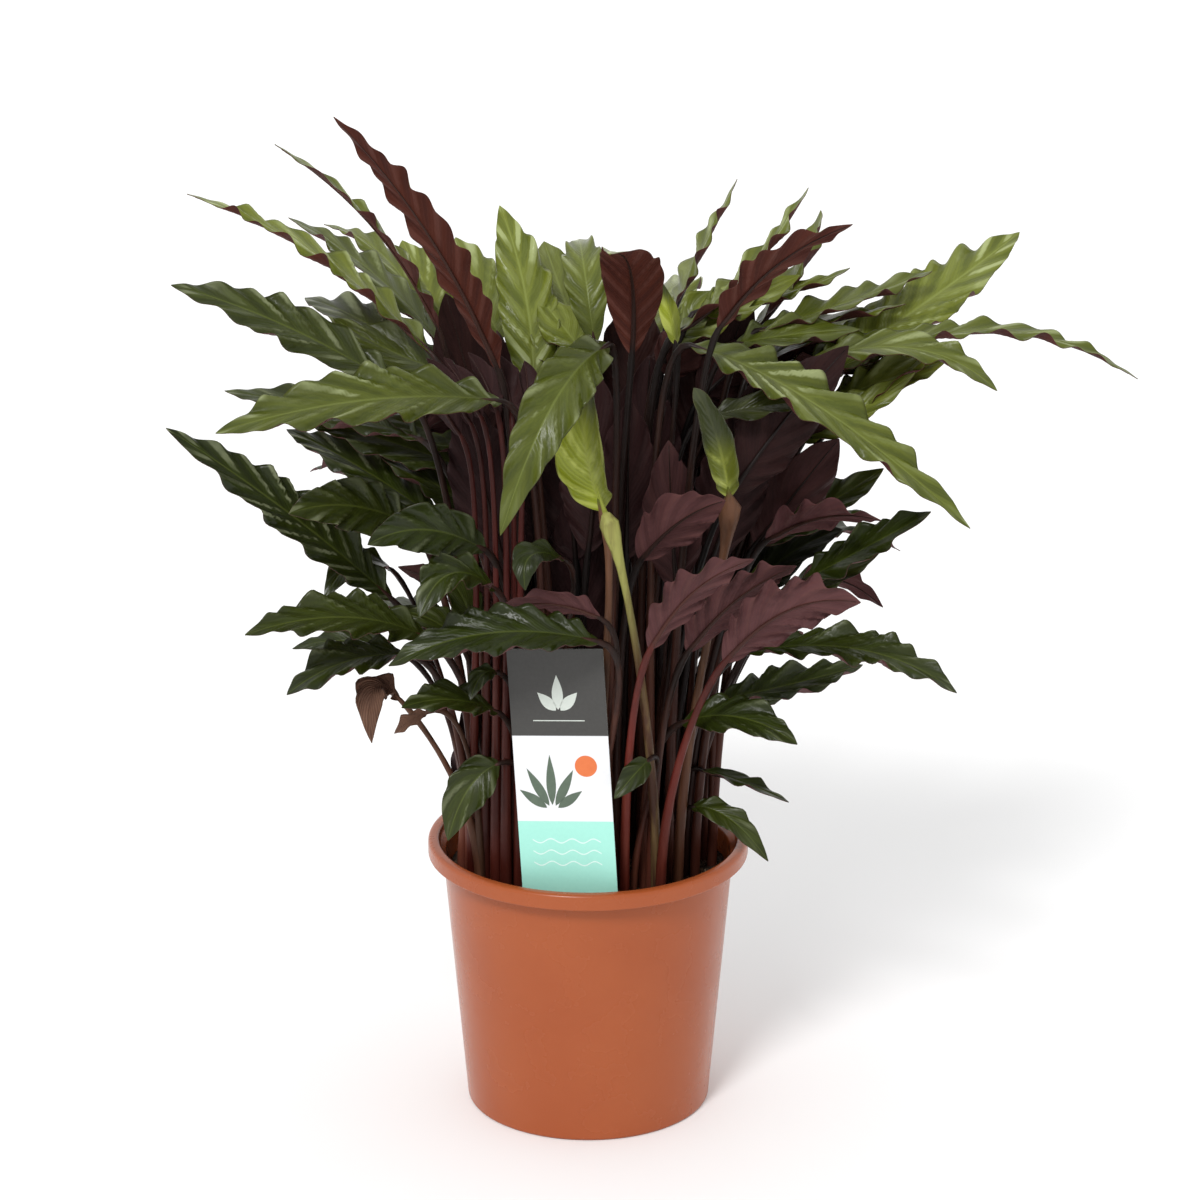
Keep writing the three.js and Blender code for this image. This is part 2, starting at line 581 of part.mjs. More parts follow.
// Soil fills the pot, with a hole for each stalk and a slot for the tag
function soilSolid() {
  const top = wallRadius(SOIL_TOP) - GAP;
  const bottom = FLOOR_TOP + GAP;
  const profile = [[0, bottom], [wallRadius(bottom) - GAP, bottom], [top, SOIL_TOP], [0, SOIL_TOP]];
  let soil = turned(profile, POT_SEGMENTS);
  for (const { sections } of placed.filter((other) => other.leaf && !other.leaf.host)) {
    const hole = [sections[0], sections[1]].map((section) => corners(section, GAP / HEX));
    for (const corner of hole[0]) {
      corner.z -= GAP;
    }
    soil = soil.subtract(solidOf(skin(hole)));
  }
  return soil.subtract(tagSolid(GAP));
}

function material(colour, roughness) {
  return new THREE.MeshStandardMaterial({ color: colour, roughness, metalness: 0 });
}

const part = new THREE.Group();

function add(name, solid, colour, roughness) {
  const mesh = new THREE.Mesh(geometryOf(solid), material(colour, roughness));
  mesh.name = name;
  part.add(mesh);
}

add('pot', pot, TERRACOTTA, 0.4);
add('soil', soilSolid(), SOIL_BROWN, 0.95);
add('tag', tag, CARD_WHITE, 0.5);

const COLOURS = { green: GREEN, young: YOUNG_GREEN, brown: BROWN };
for (const { name, solid, leaf } of placed.filter((other) => other.leaf && !other.leaf.host)) {
  const guests = placed.filter((other) => other.leaf?.host === name);
  const whole = guests.reduce((body, guest) => body.add(guest.solid), solid);
  add(`leaf_${name}`, whole, COLOURS[leaf.kind], 0.6);
}

export default part;
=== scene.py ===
# Looks of the potted velvet calathea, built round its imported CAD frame: fine wavy leaves with veins,
# round stalks, a smooth pot, crumbly soil and a printed card tag, seen as in the photo.
# Lengths are in millimetres, in the CAD's frame, until a mesh is made from them.
import math

import bpy
import numpy as np
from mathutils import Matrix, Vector, kdtree


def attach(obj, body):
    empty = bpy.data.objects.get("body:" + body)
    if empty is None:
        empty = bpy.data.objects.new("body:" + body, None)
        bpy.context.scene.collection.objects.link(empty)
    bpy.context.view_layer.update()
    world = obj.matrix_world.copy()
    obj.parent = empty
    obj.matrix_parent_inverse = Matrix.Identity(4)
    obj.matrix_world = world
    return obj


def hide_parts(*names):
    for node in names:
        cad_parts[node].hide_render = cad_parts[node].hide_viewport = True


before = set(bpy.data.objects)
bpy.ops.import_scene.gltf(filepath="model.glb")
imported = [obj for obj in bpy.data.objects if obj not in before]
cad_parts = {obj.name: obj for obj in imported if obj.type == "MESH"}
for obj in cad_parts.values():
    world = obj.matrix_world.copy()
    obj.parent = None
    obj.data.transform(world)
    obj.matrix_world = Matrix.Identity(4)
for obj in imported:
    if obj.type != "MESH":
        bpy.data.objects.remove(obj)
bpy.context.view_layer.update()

MM = 0.001
SEED = 11
random = np.random.default_rng(SEED)

# Camera: the photo's own place and angle
CAMERA_PLACE = (0.0, -2500.0, 1170.0)
CAMERA_PITCH = math.radians(18.92)
CAMERA_YAW = math.radians(-0.162)
CAMERA_LENS = 135.87
SENSOR = 36.0

# Floor and light
FLOOR_REACH = 30.0  # in metres
WORLD_FRONT = 0.78
WORLD_BACK = 1.04
WORLD_CHANGE = (-0.5, 0.6)  # front to back, between which the room's light changes
KEY_PLACE = (-0.75, -2.0, 2.1)
KEY_POWER = 1.6
KEY_WIDTH = math.radians(14)

# Pot
POT_SEGMENTS = 160
CORNER_STEPS = 5
FOOT_RADIUS = 72.4
SHOULDER_RADIUS, SHOULDER_HEIGHT = 86.4, 158  # where the wall ends and the rim begins
RIM_RADIUS = 95
RIM_TOP = 166
RIM_BOTTOM = 156.2
WALL_FOOT_RADIUS = 70.4  # inside the wall
WALL_HEAD_RADIUS = 84.4
WALL_HEAD_HEIGHT = 157.5
FLOOR_TOP = 2.2
DRAIN_RADIUS = 4.5
DRAIN_RING_RADIUS = 48
DRAIN_COUNT = 6
DRAIN_SIDES = 24
DRILL = (-2, 5)  # heights of the drills' ends

# Soil
SOIL_TOP = 146
SOIL_SEGMENTS = 96
SOIL_RINGS = 44  # on its top
SOIL_GAP = 0.35  # between the soil and the pot's floor, and their wall low down
SOIL_EDGE_GAP = 0.8  # and at its top
SOIL_LUMPS = 1.6
SOIL_WAVES = [  # the top's waves: turn for each millimetre across and back, and start
    (0.11, 0.07, 0.3),
    (-0.06, 0.13, 1.9),
    (0.21, -0.17, 4.0),
    (0.33, 0.29, 2.2),
    (-0.47, 0.38, 0.7),
]
SOIL_GRAIN = 0.3
CRUMBS = [(1, 1000, 0.7, 2.6), (2, 90, 0.6, 1.5)]  # material, count, smallest and largest
CRUMB_SIDES = 6
CRUMB_RINGS = [(-0.9, 0.4), (-0.35, 1.0), (0.4, 0.9), (0.95, 0.35)]  # height and reach

# Tag
TAG_WIDTH = 56
TAG_TOP = 307.5
TAG_FOOT = 118
TAG_THICKNESS = 0.8
TAG_CORNER = 1
TAG_LEAN = math.radians(3.4)
TAG_TURN = math.radians(-10)  # the right side stands nearer to the front
TAG_FOOT_X = -8
TAG_FOOT_Y = -71
INK_HEIGHT = 0.06  # the printed figures stand this far off the card
INK_DEPTH = 0.02
FIGURE_STEPS = 12
MINT_TOP = 84.5  # heights above the tag's foot
PANEL_TOP = 137

# Leaves, as in the part's own source
BLADE_THICKNESS = 1.05
LEAST_HALF_WIDTH = 0.9
OUTLINE_SKEW, OUTLINE_SWELL = 0.85, 0.8
WAVE_SHARE = 0.1
FOLD = math.radians(12)
YOUNG_FOLD = math.radians(45)
HALF_WAVE = 16
FEWEST_SECTIONS = 5
MOST_SECTIONS = 13
LARGE = {"foot": 2.6, "neck": 1.8}
SMALL = {"foot": 2.1, "neck": 1.4}
SMALL_WIDTH = 27
SHARED_RISE = 9
SHARED_SHARE = 0.78
NECK_BEND = 30
NECK_SHARE = 0.3
STRAIGHT_SHARE = 0.4
STALK_RISE = 2
LEAN_WAY = np.array([0, 0.946, -0.324])
LEANS = [0, 12, -12, 24, -24, 36, -36, 48, -48, 60, -60]
SIDESTEPS = [0, 8, -8, 16, -16]
NEAR_NECK, NEAR_TIP, NEAR_MARGIN = 0.1, 1.2, 0.1  # a solid's corners lie this near to a true bend

# Leaves, finer than in the part's source
ROW_STEP = 1.45  # length of blade for each row of the fine mesh
HIDDEN_STEP = 2.6  # and of a blade deep in the clump or behind it
FEWEST_ROWS = 24
END_CROWDING = 0.07  # how much closer the rows lie at a blade's two ends
COLUMNS = [0, 0.05, 0.2, 0.4, 0.6, 0.78, 0.91, 1]  # shares of half a blade's width
THICKNESS = (0.62, 0.34)  # at the midrib and at the margins
THICKEST = 2.4  # as a share of half the blade's width, at its two ends
GROOVE = 0.22  # depth of the midrib's groove on top
GROOVE_REACH = 0.03  # as a share of half the blade's width
TIP_HALF_WIDTH = 0.25
VEIN_SLOPE = 1.8  # run of a side vein along the blade for each millimetre across
LARGE_WAVE = 0.7  # the CAD blade's waves, as a share of their height there
WAVE_REACH = 1.7  # the lower, the further these waves run in towards the midrib
SWING, SWING_TURNS = 0.2, 1.6  # by turns, one margin's waves are this much higher or lower
SCALLOP_GROWTH = (325, 470)  # between these heights of a leaf its scallops grow
SCALLOP_STEP = (14.5, 20)  # from one scallop of the margin to the next
SCALLOP_HEIGHT = (0.06, 0.078)  # as a share of the blade's width
SCALLOP_SLIP, SLIP_TURNS = 0.9, 2.3  # how unevenly they follow each other, in radians
SCALLOP_BULGE = 0.11  # how far they stand out from the margin, as a share of half the width
SCALLOP_REACH = 1.5  # the lower, the further the scallops run in towards the midrib
BULGE_REACH = 4  # and their bulges
CREST_REACH = 0.3  # the share of half the width over which their crests fade out at the midrib
TIP_CALM = 0.2  # share of the blade before its tip where the scallops run out
WAVE_SHARES = {  # these leaves have smaller or larger waves and scallops than the others
    "top_front": 0.45,
    "front_right_rising": 1.3,
    "front_right_dark": 1.3,
    "front_red_stalk": 1.3,
    "right_mid_maroon": 1.3,
    "left_mid": 1.25,
    "left_mid_front": 1.3,
    "left_low": 1.2,
    "left_under": 1.25,
    "front_left_curled": 1.3,
    "front_low_long": 1.2,
    "front_small": 1.25,
    "right_lit": 1.15,
    "right_under": 1.2,
    "tag_left": 1.2,
}
FOLD_CURVE = 1.2  # above 1, a blade's fold starts gently at the midrib
YOUNG_ROLL = {  # how far a young leaf's left and right halves are rolled up, in radians
    "young_middle": (0.8, 2.1),
    "young_right": (1.5, 1.7),
    "top_bud": (0.8, 0.8),
}
LEAST_ROLL = 0.001
KIND_WAVES = {"green": 1, "young": 0.45, "brown": 2}  # share of the waves that each kind has
STALK_KINDS = {  # stalks with other colours than those of their leaf's kind
    "front_red_stalk": "red",
    "front_right_rising": "red",
    "left_stalks": "red",
    "top_right_long": "green",
}
STALK_SIDES = 10
STALK_ROWS = 16
STALK_CROWDING = 0.85  # below 1, a stalk's rows lie closer near the blade
STALK_SHADES = (0.55, 1.0)  # stalks differ in brightness between these
FOOT_DEPTH = 10  # a stalk's straight foot, below the point where its curve starts
SHARED_DEPTH = 1  # and that of a leaf that shares another one's stalk
FLATTEST = 0.12  # a stalk is flatter than round by up to this share
KNEE = 0.4  # extra radius of the thickened knee under a blade
KNEE_PLACE, KNEE_LENGTH = 18.2, 14  # below the blade
YOUNG_SHEATH = {  # extra radius of the sheath under a young blade
    "young_middle": 1.2,
    "young_right": 4.6,
    "top_bud": 0.6,
    "young_sheath": 3.4,
}
SHEATH_PLACE = 0.945  # share of the stalk at which that sheath is thickest
SHEATH_BELOW, SHEATH_ABOVE = 0.13, 0.045  # shares over which it thins out
FOOT_SHEATH = (1.7, 0.6)  # extra radius at a stalk's foot, left and right of the tag
FOOT_SHEATH_SHARE = 0.34  # share of the stalk over which it thins out
LEFT_TO_RIGHT = (-25, 15)  # places across between which left turns into right
FRONT_TO_BACK = (-48, -22)  # between these places the stalks on the right turn darker: painted shade further back in the clump
BACK_SHADE = 0.5
DULL_STALKS = {"front_right_rising": 0.5}  # share of its brightness that this one keeps

# A stalk runs on under its blade as the midrib
RIB_ROWS = 14
RIB_ENDS = (0.03, 0.97)  # shares of the blade between which it runs
RIB_START = 0.92  # its radius at the blade's base, as a share of the neck's
RIB_TIP = 0.25  # and at the tip
RIB_TAPER = 1.6
RIB_SINK = (0.12, 0.86)  # how far it hangs under the blade: a length, and a share of its radius
RIB_SINK_SHARE = 0.12  # share of the blade over which it comes to hang there

YOUNG_SHEATH_ROOT = (40, -50)
YOUNG_SHEATH_LEAF = ((10, -94, 396), (7, -90, 404), (5, -88, 412), 40)  # base, middle, tip and width

UP = (0, 0, 1)
FRONT = (0, -1, 0.4)
FRONT_UP = (0, -0.6, 1)
TILTED = (0, -0.3, 1)
EDGE_ON = (0, 0.15, 1)
BACK = (0, 1, 0.2)
BACK_UP = (0, 0.8, 0.6)
LEFT_UP = (-0.7, 0, 0.7)
LEFT_BACK = (-0.75, 0.1, 0.65)
BACK_LEFT = (-0.3, 0.7, 0.5)
BACK_RIGHT = (0.3, 0.7, 0.5)

# Each leaf: name, base of the blade, its middle, its tip, width, the way it faces, and
# whose stalk it shares, or what kind it is
LEAVES = [
    ("front_hanging", (12, -55, 483), (-19, -115, 466), (-48, -135, 397), 33, FRONT),
    ("right_arching", (58, -35, 477), (130, -60, 448), (214, -90, 386), 38, TILTED),
    ("left_level", (-48, -45, 447), (-124, -80, 458), (-205, -110, 448), 42, FRONT_UP),
    ("left_level_behind", (-97, 20, 405), (-152, 60, 410), (-216, 90, 414), 34, TILTED, "left_level"),
    ("left_tall", (-50, -35, 461), (-87, -55, 545), (-138, -85, 620), 27, BACK_RIGHT),
    ("left_tall_twin", (-85, 15, 471), (-121, 5, 535), (-176, -5, 586), 26, UP),
    ("left_high", (-89, 15, 457), (-156, 45, 508), (-233, 70, 539), 32, EDGE_ON),
    ("left_high_edge", (-82, 50, 450), (-127, 85, 488), (-178, 125, 511), 28, EDGE_ON),
    ("left_high_far", (-92, 80, 454), (-121, 120, 488), (-159, 160, 498), 24, EDGE_ON, "left_high_edge"),
    ("left_dark", (-105, -5, 441), (-171, -10, 481), (-236, -15, 507), 34, FRONT_UP),
    ("left_dark_behind", (-86, 40, 440), (-131, 75, 460), (-169, 120, 463), 34, TILTED, "left_high"),
    ("left_low_glossy", (-113, -20, 320), (-170, -30, 375), (-239, -40, 430), 36, FRONT_UP),
    ("left_low_small", (-115, 20, 325), (-135, -10, 340), (-152, -35, 326), 22, FRONT_UP, "left_low_glossy"),
    ("left_mid", (-102, -10, 362), (-135, -50, 387), (-167, -90, 395), 32, FRONT),
    ("left_mid_behind", (-95, 30, 352), (-144, 55, 378), (-187, 80, 393), 32, TILTED, "left_mid"),
    ("left_mid_front", (-58, -50, 360), (-91, -85, 384), (-122, -115, 385), 30, FRONT),
    ("left_low", (-91, -35, 301), (-138, -65, 325), (-193, -95, 325), 34, FRONT_UP),
    ("left_under", (-103, -20, 286), (-139, -45, 291), (-172, -70, 280), 32, TILTED),
    ("left_under_thin", (-110, 0, 281), (-142, 0, 288), (-173, 0, 283), 16, FRONT_UP, "left_under"),
    ("front_low_long", (7, -88, 318), (-55, -98, 327), (-112, -105, 310), 34, FRONT_UP),
    ("front_low_strip", (7, -75, 328), (-21, -82, 339), (-52, -90, 338), 22, BACK_UP, "front_low_long"),
    ("front_left_curled", (-52, -70, 343), (-77, -95, 361), (-94, -115, 342), 28, FRONT_UP),
    ("front_left_bud", (-13, -70, 361), (-32, -90, 370), (-35, -100, 353), 20, FRONT_UP, "front_left_curled"),
    ("left_dried", (-109, -30, 262), (-124, -40, 272), (-125, -50, 243), 20, FRONT_UP, "", "brown"),
    ("dried_bit", (-93, -30, 255), (-103, -40, 253), (-112, -45, 247), 10, FRONT_UP, "left_dried", "brown"),
    ("front_small", (-52, -70, 269), (-78, -90, 284), (-105, -105, 285), 26, FRONT_UP),
    ("front_small_bit", (-44, -60, 290), (-53, -70, 291), (-59, -80, 280), 13, FRONT_UP, "front_small"),
    ("tag_left", (-43, -75, 239), (-61, -85, 227), (-73, -90, 197), 26, FRONT, "left_mid_front"),
    ("tag_right", (35, -70, 240), (26, -82, 235), (15, -90, 224), 15, FRONT),
    ("rim_right", (60, -30, 195), (82, -40, 192), (105, -50, 169), 18, FRONT_UP),
    ("rim_right_edge", (66, -20, 215), (92, -30, 210), (117, -40, 202), 16, UP, "rim_right"),
    ("right_low", (54, -50, 255), (86, -70, 266), (119, -90, 257), 30, FRONT_UP),
    ("right_lit", (91, -35, 293), (156, -65, 305), (209, -90, 288), 32, TILTED),
    ("right_under", (76, -20, 258), (120, -15, 266), (162, -10, 276), 30, TILTED, "right_lit"),
    ("front_right_rising", (77, -80, 303), (112, -105, 343), (151, -130, 356), 36, BACK),
    ("front_right_dark", (57, -60, 302), (84, -75, 339), (117, -90, 364), 32, BACK_UP),
    ("front_red_stalk", (35, -90, 314), (59, -105, 354), (92, -120, 378), 27, BACK_UP),
    ("middle_dark", (30, -50, 354), (52, -70, 384), (77, -85, 401), 34, BACK),
    ("right_mid_high", (100, 0, 347), (137, 15, 365), (173, 30, 384), 28, FRONT_UP),
    ("right_mid_small", (93, 30, 348), (111, 60, 350), (132, 80, 349), 24, FRONT_UP, "right_mid_high"),
    ("right_mid_maroon", (103, -40, 363), (134, -55, 382), (165, -75, 386), 28, BACK_UP),
    ("right_mid", (123, -30, 334), (159, -40, 358), (195, -50, 383), 30, FRONT_UP),
    ("right_mid_curled", (119, 10, 316), (146, 20, 319), (173, 10, 305), 24, BACK_UP, "right_mid"),
    ("right_far", (122, 5, 440), (225, 15, 471), (317, 10, 444), 27, UP),
    ("right_wide", (128, 20, 440), (200, 75, 473), (259, 140, 498), 40, FRONT_UP),
    ("right_far_small", (140, -5, 458), (200, -25, 472), (247, -45, 453), 28, TILTED, "right_far"),
    ("right_strip", (97, 20, 470), (150, 45, 480), (202, 75, 491), 28, UP),
    ("right_over", (105, 30, 446), (148, 55, 462), (190, 80, 468), 28, UP, "right_wide"),
    ("right_tall", (73, -45, 488), (104, -65, 531), (145, -90, 561), 27, BACK_LEFT),
    ("right_tall_green", (96, 45, 464), (124, 75, 491), (138, 110, 519), 28, LEFT_UP),
    ("right_fill", (100, 5, 432), (136, 15, 448), (176, 20, 452), 28, TILTED, "right_tall_green"),
    ("top_right_long", (50, 0, 474), (93, 30, 503), (128, 60, 545), 30, LEFT_UP),
    ("top_right_narrow", (47, 40, 471), (66, 85, 498), (89, 130, 533), 26, LEFT_BACK),
    ("top_bud", (50, -20, 473), (46, -15, 491), (40, -10, 509), 12, FRONT, "top_right_long", "young"),
    ("top_front", (25, -30, 470), (24, -59, 526), (12, -128, 554), 36, UP),
    ("top_face", (-31, 10, 431), (-36, 60, 479), (-52, 110, 522), 35, FRONT_UP),
    ("top_back", (-4, 50, 453), (-16, 90, 476), (-26, 130, 495), 36, FRONT_UP),
    ("top_round", (4, 25, 460), (-2, 45, 501), (-5, 100, 504), 26, FRONT, "top_back"),
    ("top_left", (-51, 60, 454), (-65, 95, 475), (-79, 140, 495), 38, FRONT_UP),
    ("top_left_light", (-81, 70, 457), (-97, 110, 474), (-112, 160, 488), 34, FRONT_UP, "top_left"),
    ("young_middle", (8, -90, 397), (-2, -84, 436), (1, -62, 469), 40, FRONT, "", "young"),
    ("young_right", (80, -70, 398), (72, -75, 436), (59, -80, 465), 28, FRONT, "", "young"),
    ("middle_inner", (47, 10, 310), (39, 0, 374), (46, -10, 438), 44, BACK),
    ("right_inner", (74, 0, 393), (104, 0, 411), (137, 0, 417), 34, BACK_UP),
    ("right_inner_strip", (67, -40, 436), (100, -50, 446), (131, -60, 452), 20, FRONT_UP, "right_inner"),
    ("right_upper_strip", (120, 45, 422), (154, 60, 440), (186, 75, 446), 28, TILTED),
    ("inner_left", (-45, -20, 330), (-60, -15, 390), (-70, -5, 440), 42, BACK),
    ("inner_left_top", (-60, 20, 400), (-70, 25, 445), (-82, 30, 490), 40, BACK, "inner_left"),
    ("left_mid_upper", (-60, 10, 390), (-110, 30, 402), (-165, 45, 415), 34, FRONT_UP, "inner_left"),
    ("inner_left_high", (-30, 0, 345), (-35, 8, 392), (-44, 16, 440), 42, BACK, "inner_left"),
    ("inner_middle", (0, -10, 345), (4, 0, 400), (2, 10, 452), 42, BACK),
    ("inner_right", (70, -20, 340), (85, -20, 395), (95, -15, 450), 42, BACK),
    ("right_inner_dark", (80, 0, 375), (112, 5, 420), (148, 10, 462), 42, BACK, "right_inner"),
    ("inner_right_high", (60, 10, 390), (75, 15, 440), (95, 25, 490), 42, BACK),
    ("inner_back_left", (-60, 40, 320), (-75, 50, 375), (-90, 60, 430), 42, BACK_UP),
    ("inner_back", (-10, 50, 330), (-10, 60, 390), (-15, 70, 450), 42, BACK),
    ("inner_back_right", (40, 50, 320), (50, 60, 380), (60, 75, 440), 42, BACK),
    ("inner_top_back", (20, 45, 395), (25, 55, 440), (30, 65, 485), 42, BACK, "inner_back"),
    ("inner_low_centre", (-5, 20, 250), (-6, 30, 310), (-10, 42, 365), 42, BACK, "inner_middle"),
    ("inner_low_front", (35, 20, 240), (38, 30, 295), (44, 42, 345), 40, BACK, "middle_inner"),
    ("inner_low_left", (-60, 50, 260), (-70, 60, 320), (-85, 70, 375), 40, BACK, "inner_back_left"),
    ("inner_low_middle", (18, 55, 280), (22, 65, 340), (28, 80, 400), 42, BACK, "inner_middle"),
    ("inner_low_right", (55, 55, 270), (65, 65, 330), (80, 75, 385), 42, BACK, "inner_back_right"),
    ("right_inner_low", (85, 15, 300), (115, 25, 330), (150, 35, 345), 32, FRONT_UP, "right_inner"),
    ("right_upper", (140, 0, 417), (175, 10, 441), (214, 20, 464), 26, EDGE_ON, "inner_right"),
    ("back_high_left", (-55, 70, 430), (-85, 130, 465), (-115, 195, 470), 38, UP),
    ("back_high", (-15, 75, 440), (-25, 140, 470), (-35, 205, 465), 40, UP),
    ("back_high_right", (35, 75, 435), (55, 135, 460), (75, 195, 450), 38, UP),
    ("back_right_upper", (80, 60, 400), (120, 115, 420), (160, 170, 405), 38, UP),
    ("back_left_middle", (-75, 50, 350), (-120, 100, 365), (-170, 150, 345), 38, UP),
    ("back_middle_left", (-35, 75, 360), (-55, 140, 375), (-80, 205, 345), 38, UP, "back_high_left"),
    ("back_middle", (10, 80, 370), (15, 150, 385), (20, 215, 355), 38, UP, "back_high"),
    ("back_middle_right", (55, 70, 350), (85, 130, 360), (120, 190, 335), 38, UP, "back_high_right"),
    ("back_right_middle", (95, 40, 320), (140, 80, 330), (190, 115, 305), 36, UP, "back_right_upper"),
    ("back_low_left", (-75, 45, 270), (-115, 80, 280), (-160, 115, 255), 34, UP, "back_left_middle"),
    ("back_low", (-35, 65, 285), (-50, 120, 290), (-70, 175, 260), 34, UP),
    ("back_low_middle", (20, 70, 290), (30, 125, 295), (40, 185, 265), 34, UP, "back_low"),
    ("back_low_right", (65, 50, 260), (100, 90, 265), (140, 130, 240), 34, UP, "back_high_right"),
]

# Small and hidden leaves that the part's source leaves out, in groups of one piece each: root on
# the soil, base, middle, tip, width, the way it faces, tone and shade. A shade below 1 is painted
# shade deep in the clump, and a high tone is partly painted light
EXTRA_LEAVES = {
    "left_fill": [
        ((-36, 8), (-63, 25, 422), (-80, 20, 419), (-95, 15, 412), 36, BACK_UP, 0.2, 0.5),
        ((-42, 12), (-63, 35, 351), (-92, 40, 373), (-124, 45, 390), 34, TILTED, 0.15, 0.7),
        ((-48, -4), (-57, 15, 333), (-86, 20, 348), (-119, 20, 364), 32, FRONT_UP, 0.15, 0.7),
        ((-34, 26), (-64, 30, 392), (-91, 35, 405), (-118, 40, 412), 32, TILTED, 0.2, 0.6),
        ((-40, -14), (-51, 0, 313), (-79, -5, 325), (-110, -10, 337), 28, BACK_UP, 0.2, 0.6),
        ((-46, 30), (-79, 25, 444), (-112, 35, 453), (-148, 45, 471), 34, FRONT_UP, 0.3, 0.8),
        ((-54, 6), (-69, 10, 285), (-92, 10, 296), (-119, 15, 302), 26, TILTED, 0.1, 0.7),
        ((-38, 40), (-69, 50, 408), (-86, 55, 431), (-110, 60, 451), 34, TILTED, 0.3, 0.7),
    ],
    "left_bundle": [
        ((-74, -18), (-72, -15, 287), (-86, -15, 303), (-106, -15, 311), 22, FRONT_UP, 0.1, 0.9),
        ((-69, -27), (-66, -22, 296), (-72, -20, 320), (-85, -20, 338), 22, FRONT_UP, 0.1, 0.9),
    ],
    "left_stalks": [
        ((-60, -34), (-66, -28, 428), (-78, -18, 446), (-92, -8, 462), 18, BACK_UP, 0.1, 0.34),
        ((-54, -42), (-60, -35, 434), (-70, -24, 450), (-82, -14, 464), 18, BACK_UP, 0.1, 0.34),
        ((-48, -46), (-51, -38, 438), (-58, -28, 454), (-68, -18, 468), 18, BACK_UP, 0.1, 0.34),
        ((-44, -38), (-43, -34, 436), (-46, -24, 452), (-52, -14, 466), 18, BACK_UP, 0.1, 0.34),
        ((-68, -30), (-72, -24, 420), (-86, -14, 438), (-102, -6, 452), 18, BACK_UP, 0.1, 0.34),
        ((-40, -46), (-35, -38, 432), (-34, -26, 448), (-36, -14, 462), 18, BACK_UP, 0.1, 0.34),
    ],
    "middle_fill": [
        ((-20, 36), (-32, 40, 274), (-31, 45, 320), (-32, 50, 371), 42, BACK, 0.1, 0.25),
        ((-42, 26), (-52, 30, 240), (-53, 32, 287), (-56, 38, 334), 40, BACK, 0.1, 0.25),
        ((0, 30), (2, 30, 240), (3, 30, 284), (5, 30, 328), 42, BACK, 0.1, 0.25),
        ((16, -14), (22, -20, 344), (23, -22, 393), (24, -25, 442), 38, BACK, 0.1, 0.4),
        ((36, -22), (51, -30, 330), (48, -35, 373), (46, -35, 421), 36, BACK, 0.1, 0.6),
        ((20, 14), (31, 20, 386), (34, 25, 415), (36, 30, 453), 40, BACK, 0.1, 0.3),
        ((-6, 8), (-7, 10, 334), (-10, 12, 377), (-11, 15, 418), 40, BACK, 0.1, 0.25),
    ],
    "low_fill": [
        ((-60, 18), (-64, 20, 161), (-64, 20, 206), (-65, 25, 254), 36, BACK, 0.1, 0.25),
        ((14, 24), (21, 25, 165), (20, 25, 210), (21, 30, 259), 40, BACK, 0.1, 0.2),
        ((34, 14), (40, 20, 180), (41, 20, 225), (43, 25, 273), 40, BACK, 0.1, 0.25),
        ((46, 24), (53, 30, 176), (54, 30, 221), (57, 35, 270), 38, BACK, 0.1, 0.25),
        ((-8, 20), (0, 20, 154), (-1, 20, 199), (-1, 25, 242), 40, BACK, 0.1, 0.2),
    ],
    "top_fill": [
        ((-18, 20), (-3, 22, 457), (-15, 40, 468), (-27, 60, 478), 30, FRONT_UP, 0.95, 1),
        ((-24, 24), (-12, 30, 443), (-18, 42, 456), (-23, 55, 468), 34, FRONT_UP, 0.8, 0.9),
        ((-28, 30), (-46, 40, 391), (-49, 45, 424), (-53, 50, 459), 38, BACK, 0.2, 0.4),
    ],
    "right_fill": [
        ((42, 16), (47, 18, 443), (54, 20, 458), (65, 22, 475), 30, BACK, 0.6, 0.6),
        ((56, 12), (141, 20, 429), (170, 25, 439), (213, 30, 459), 26, TILTED, 1, 1),
        ((58, -4), (122, -5, 412), (151, -5, 427), (188, 0, 451), 24, FRONT_UP, 0.9, 1),
        ((44, 30), (100, 40, 465), (141, 45, 469), (185, 50, 478), 26, EDGE_ON, 0.7, 1),
        ((46, 38), (106, 50, 437), (136, 52, 450), (174, 55, 458), 28, BACK_UP, 0.4, 0.7),
        ((40, -8), (75, -10, 423), (116, -15, 434), (160, -20, 424), 26, UP, 0.45, 1),
        ((34, 18), (65, 20, 482), (89, 30, 485), (123, 40, 498), 28, FRONT_UP, 0.8, 1),
        ((58, -14), (97, -12, 351), (120, -14, 384), (144, -16, 416), 40, BACK, 0.2, 0.5),
        ((50, 6), (77, 10, 359), (95, 15, 388), (118, 20, 414), 40, BACK, 0.2, 0.4),
        ((36, 24), (65, 20, 429), (83, 25, 445), (106, 30, 459), 34, BACK, 0.2, 0.4),
        ((62, 10), (119, 10, 310), (142, 10, 325), (171, 12, 339), 26, FRONT_UP, 0.15, 0.8),
        ((44, 4), (85, 10, 465), (117, 15, 469), (157, 20, 471), 30, TILTED, 0.4, 1),
        ((52, 20), (123, 30, 445), (158, 35, 453), (197, 45, 463), 30, TILTED, 0.4, 1),
        ((60, 6), (146, 10, 433), (175, 15, 443), (207, 20, 452), 28, FRONT_UP, 0.9, 1),
        ((44, 26), (92, 25, 429), (124, 30, 439), (159, 35, 445), 32, BACK_UP, 0.4, 0.7),
        ((26, 14), (49, 15, 465), (74, 25, 479), (103, 35, 495), 30, FRONT_UP, 0.8, 1),
        ((40, 10), (48, 22, 462), (64, 26, 480), (86, 30, 494), 24, FRONT_UP, 0.85, 1),
        ((36, 36), (86, 40, 483), (118, 50, 485), (153, 60, 497), 24, UP, 0.6, 1),
    ],
}
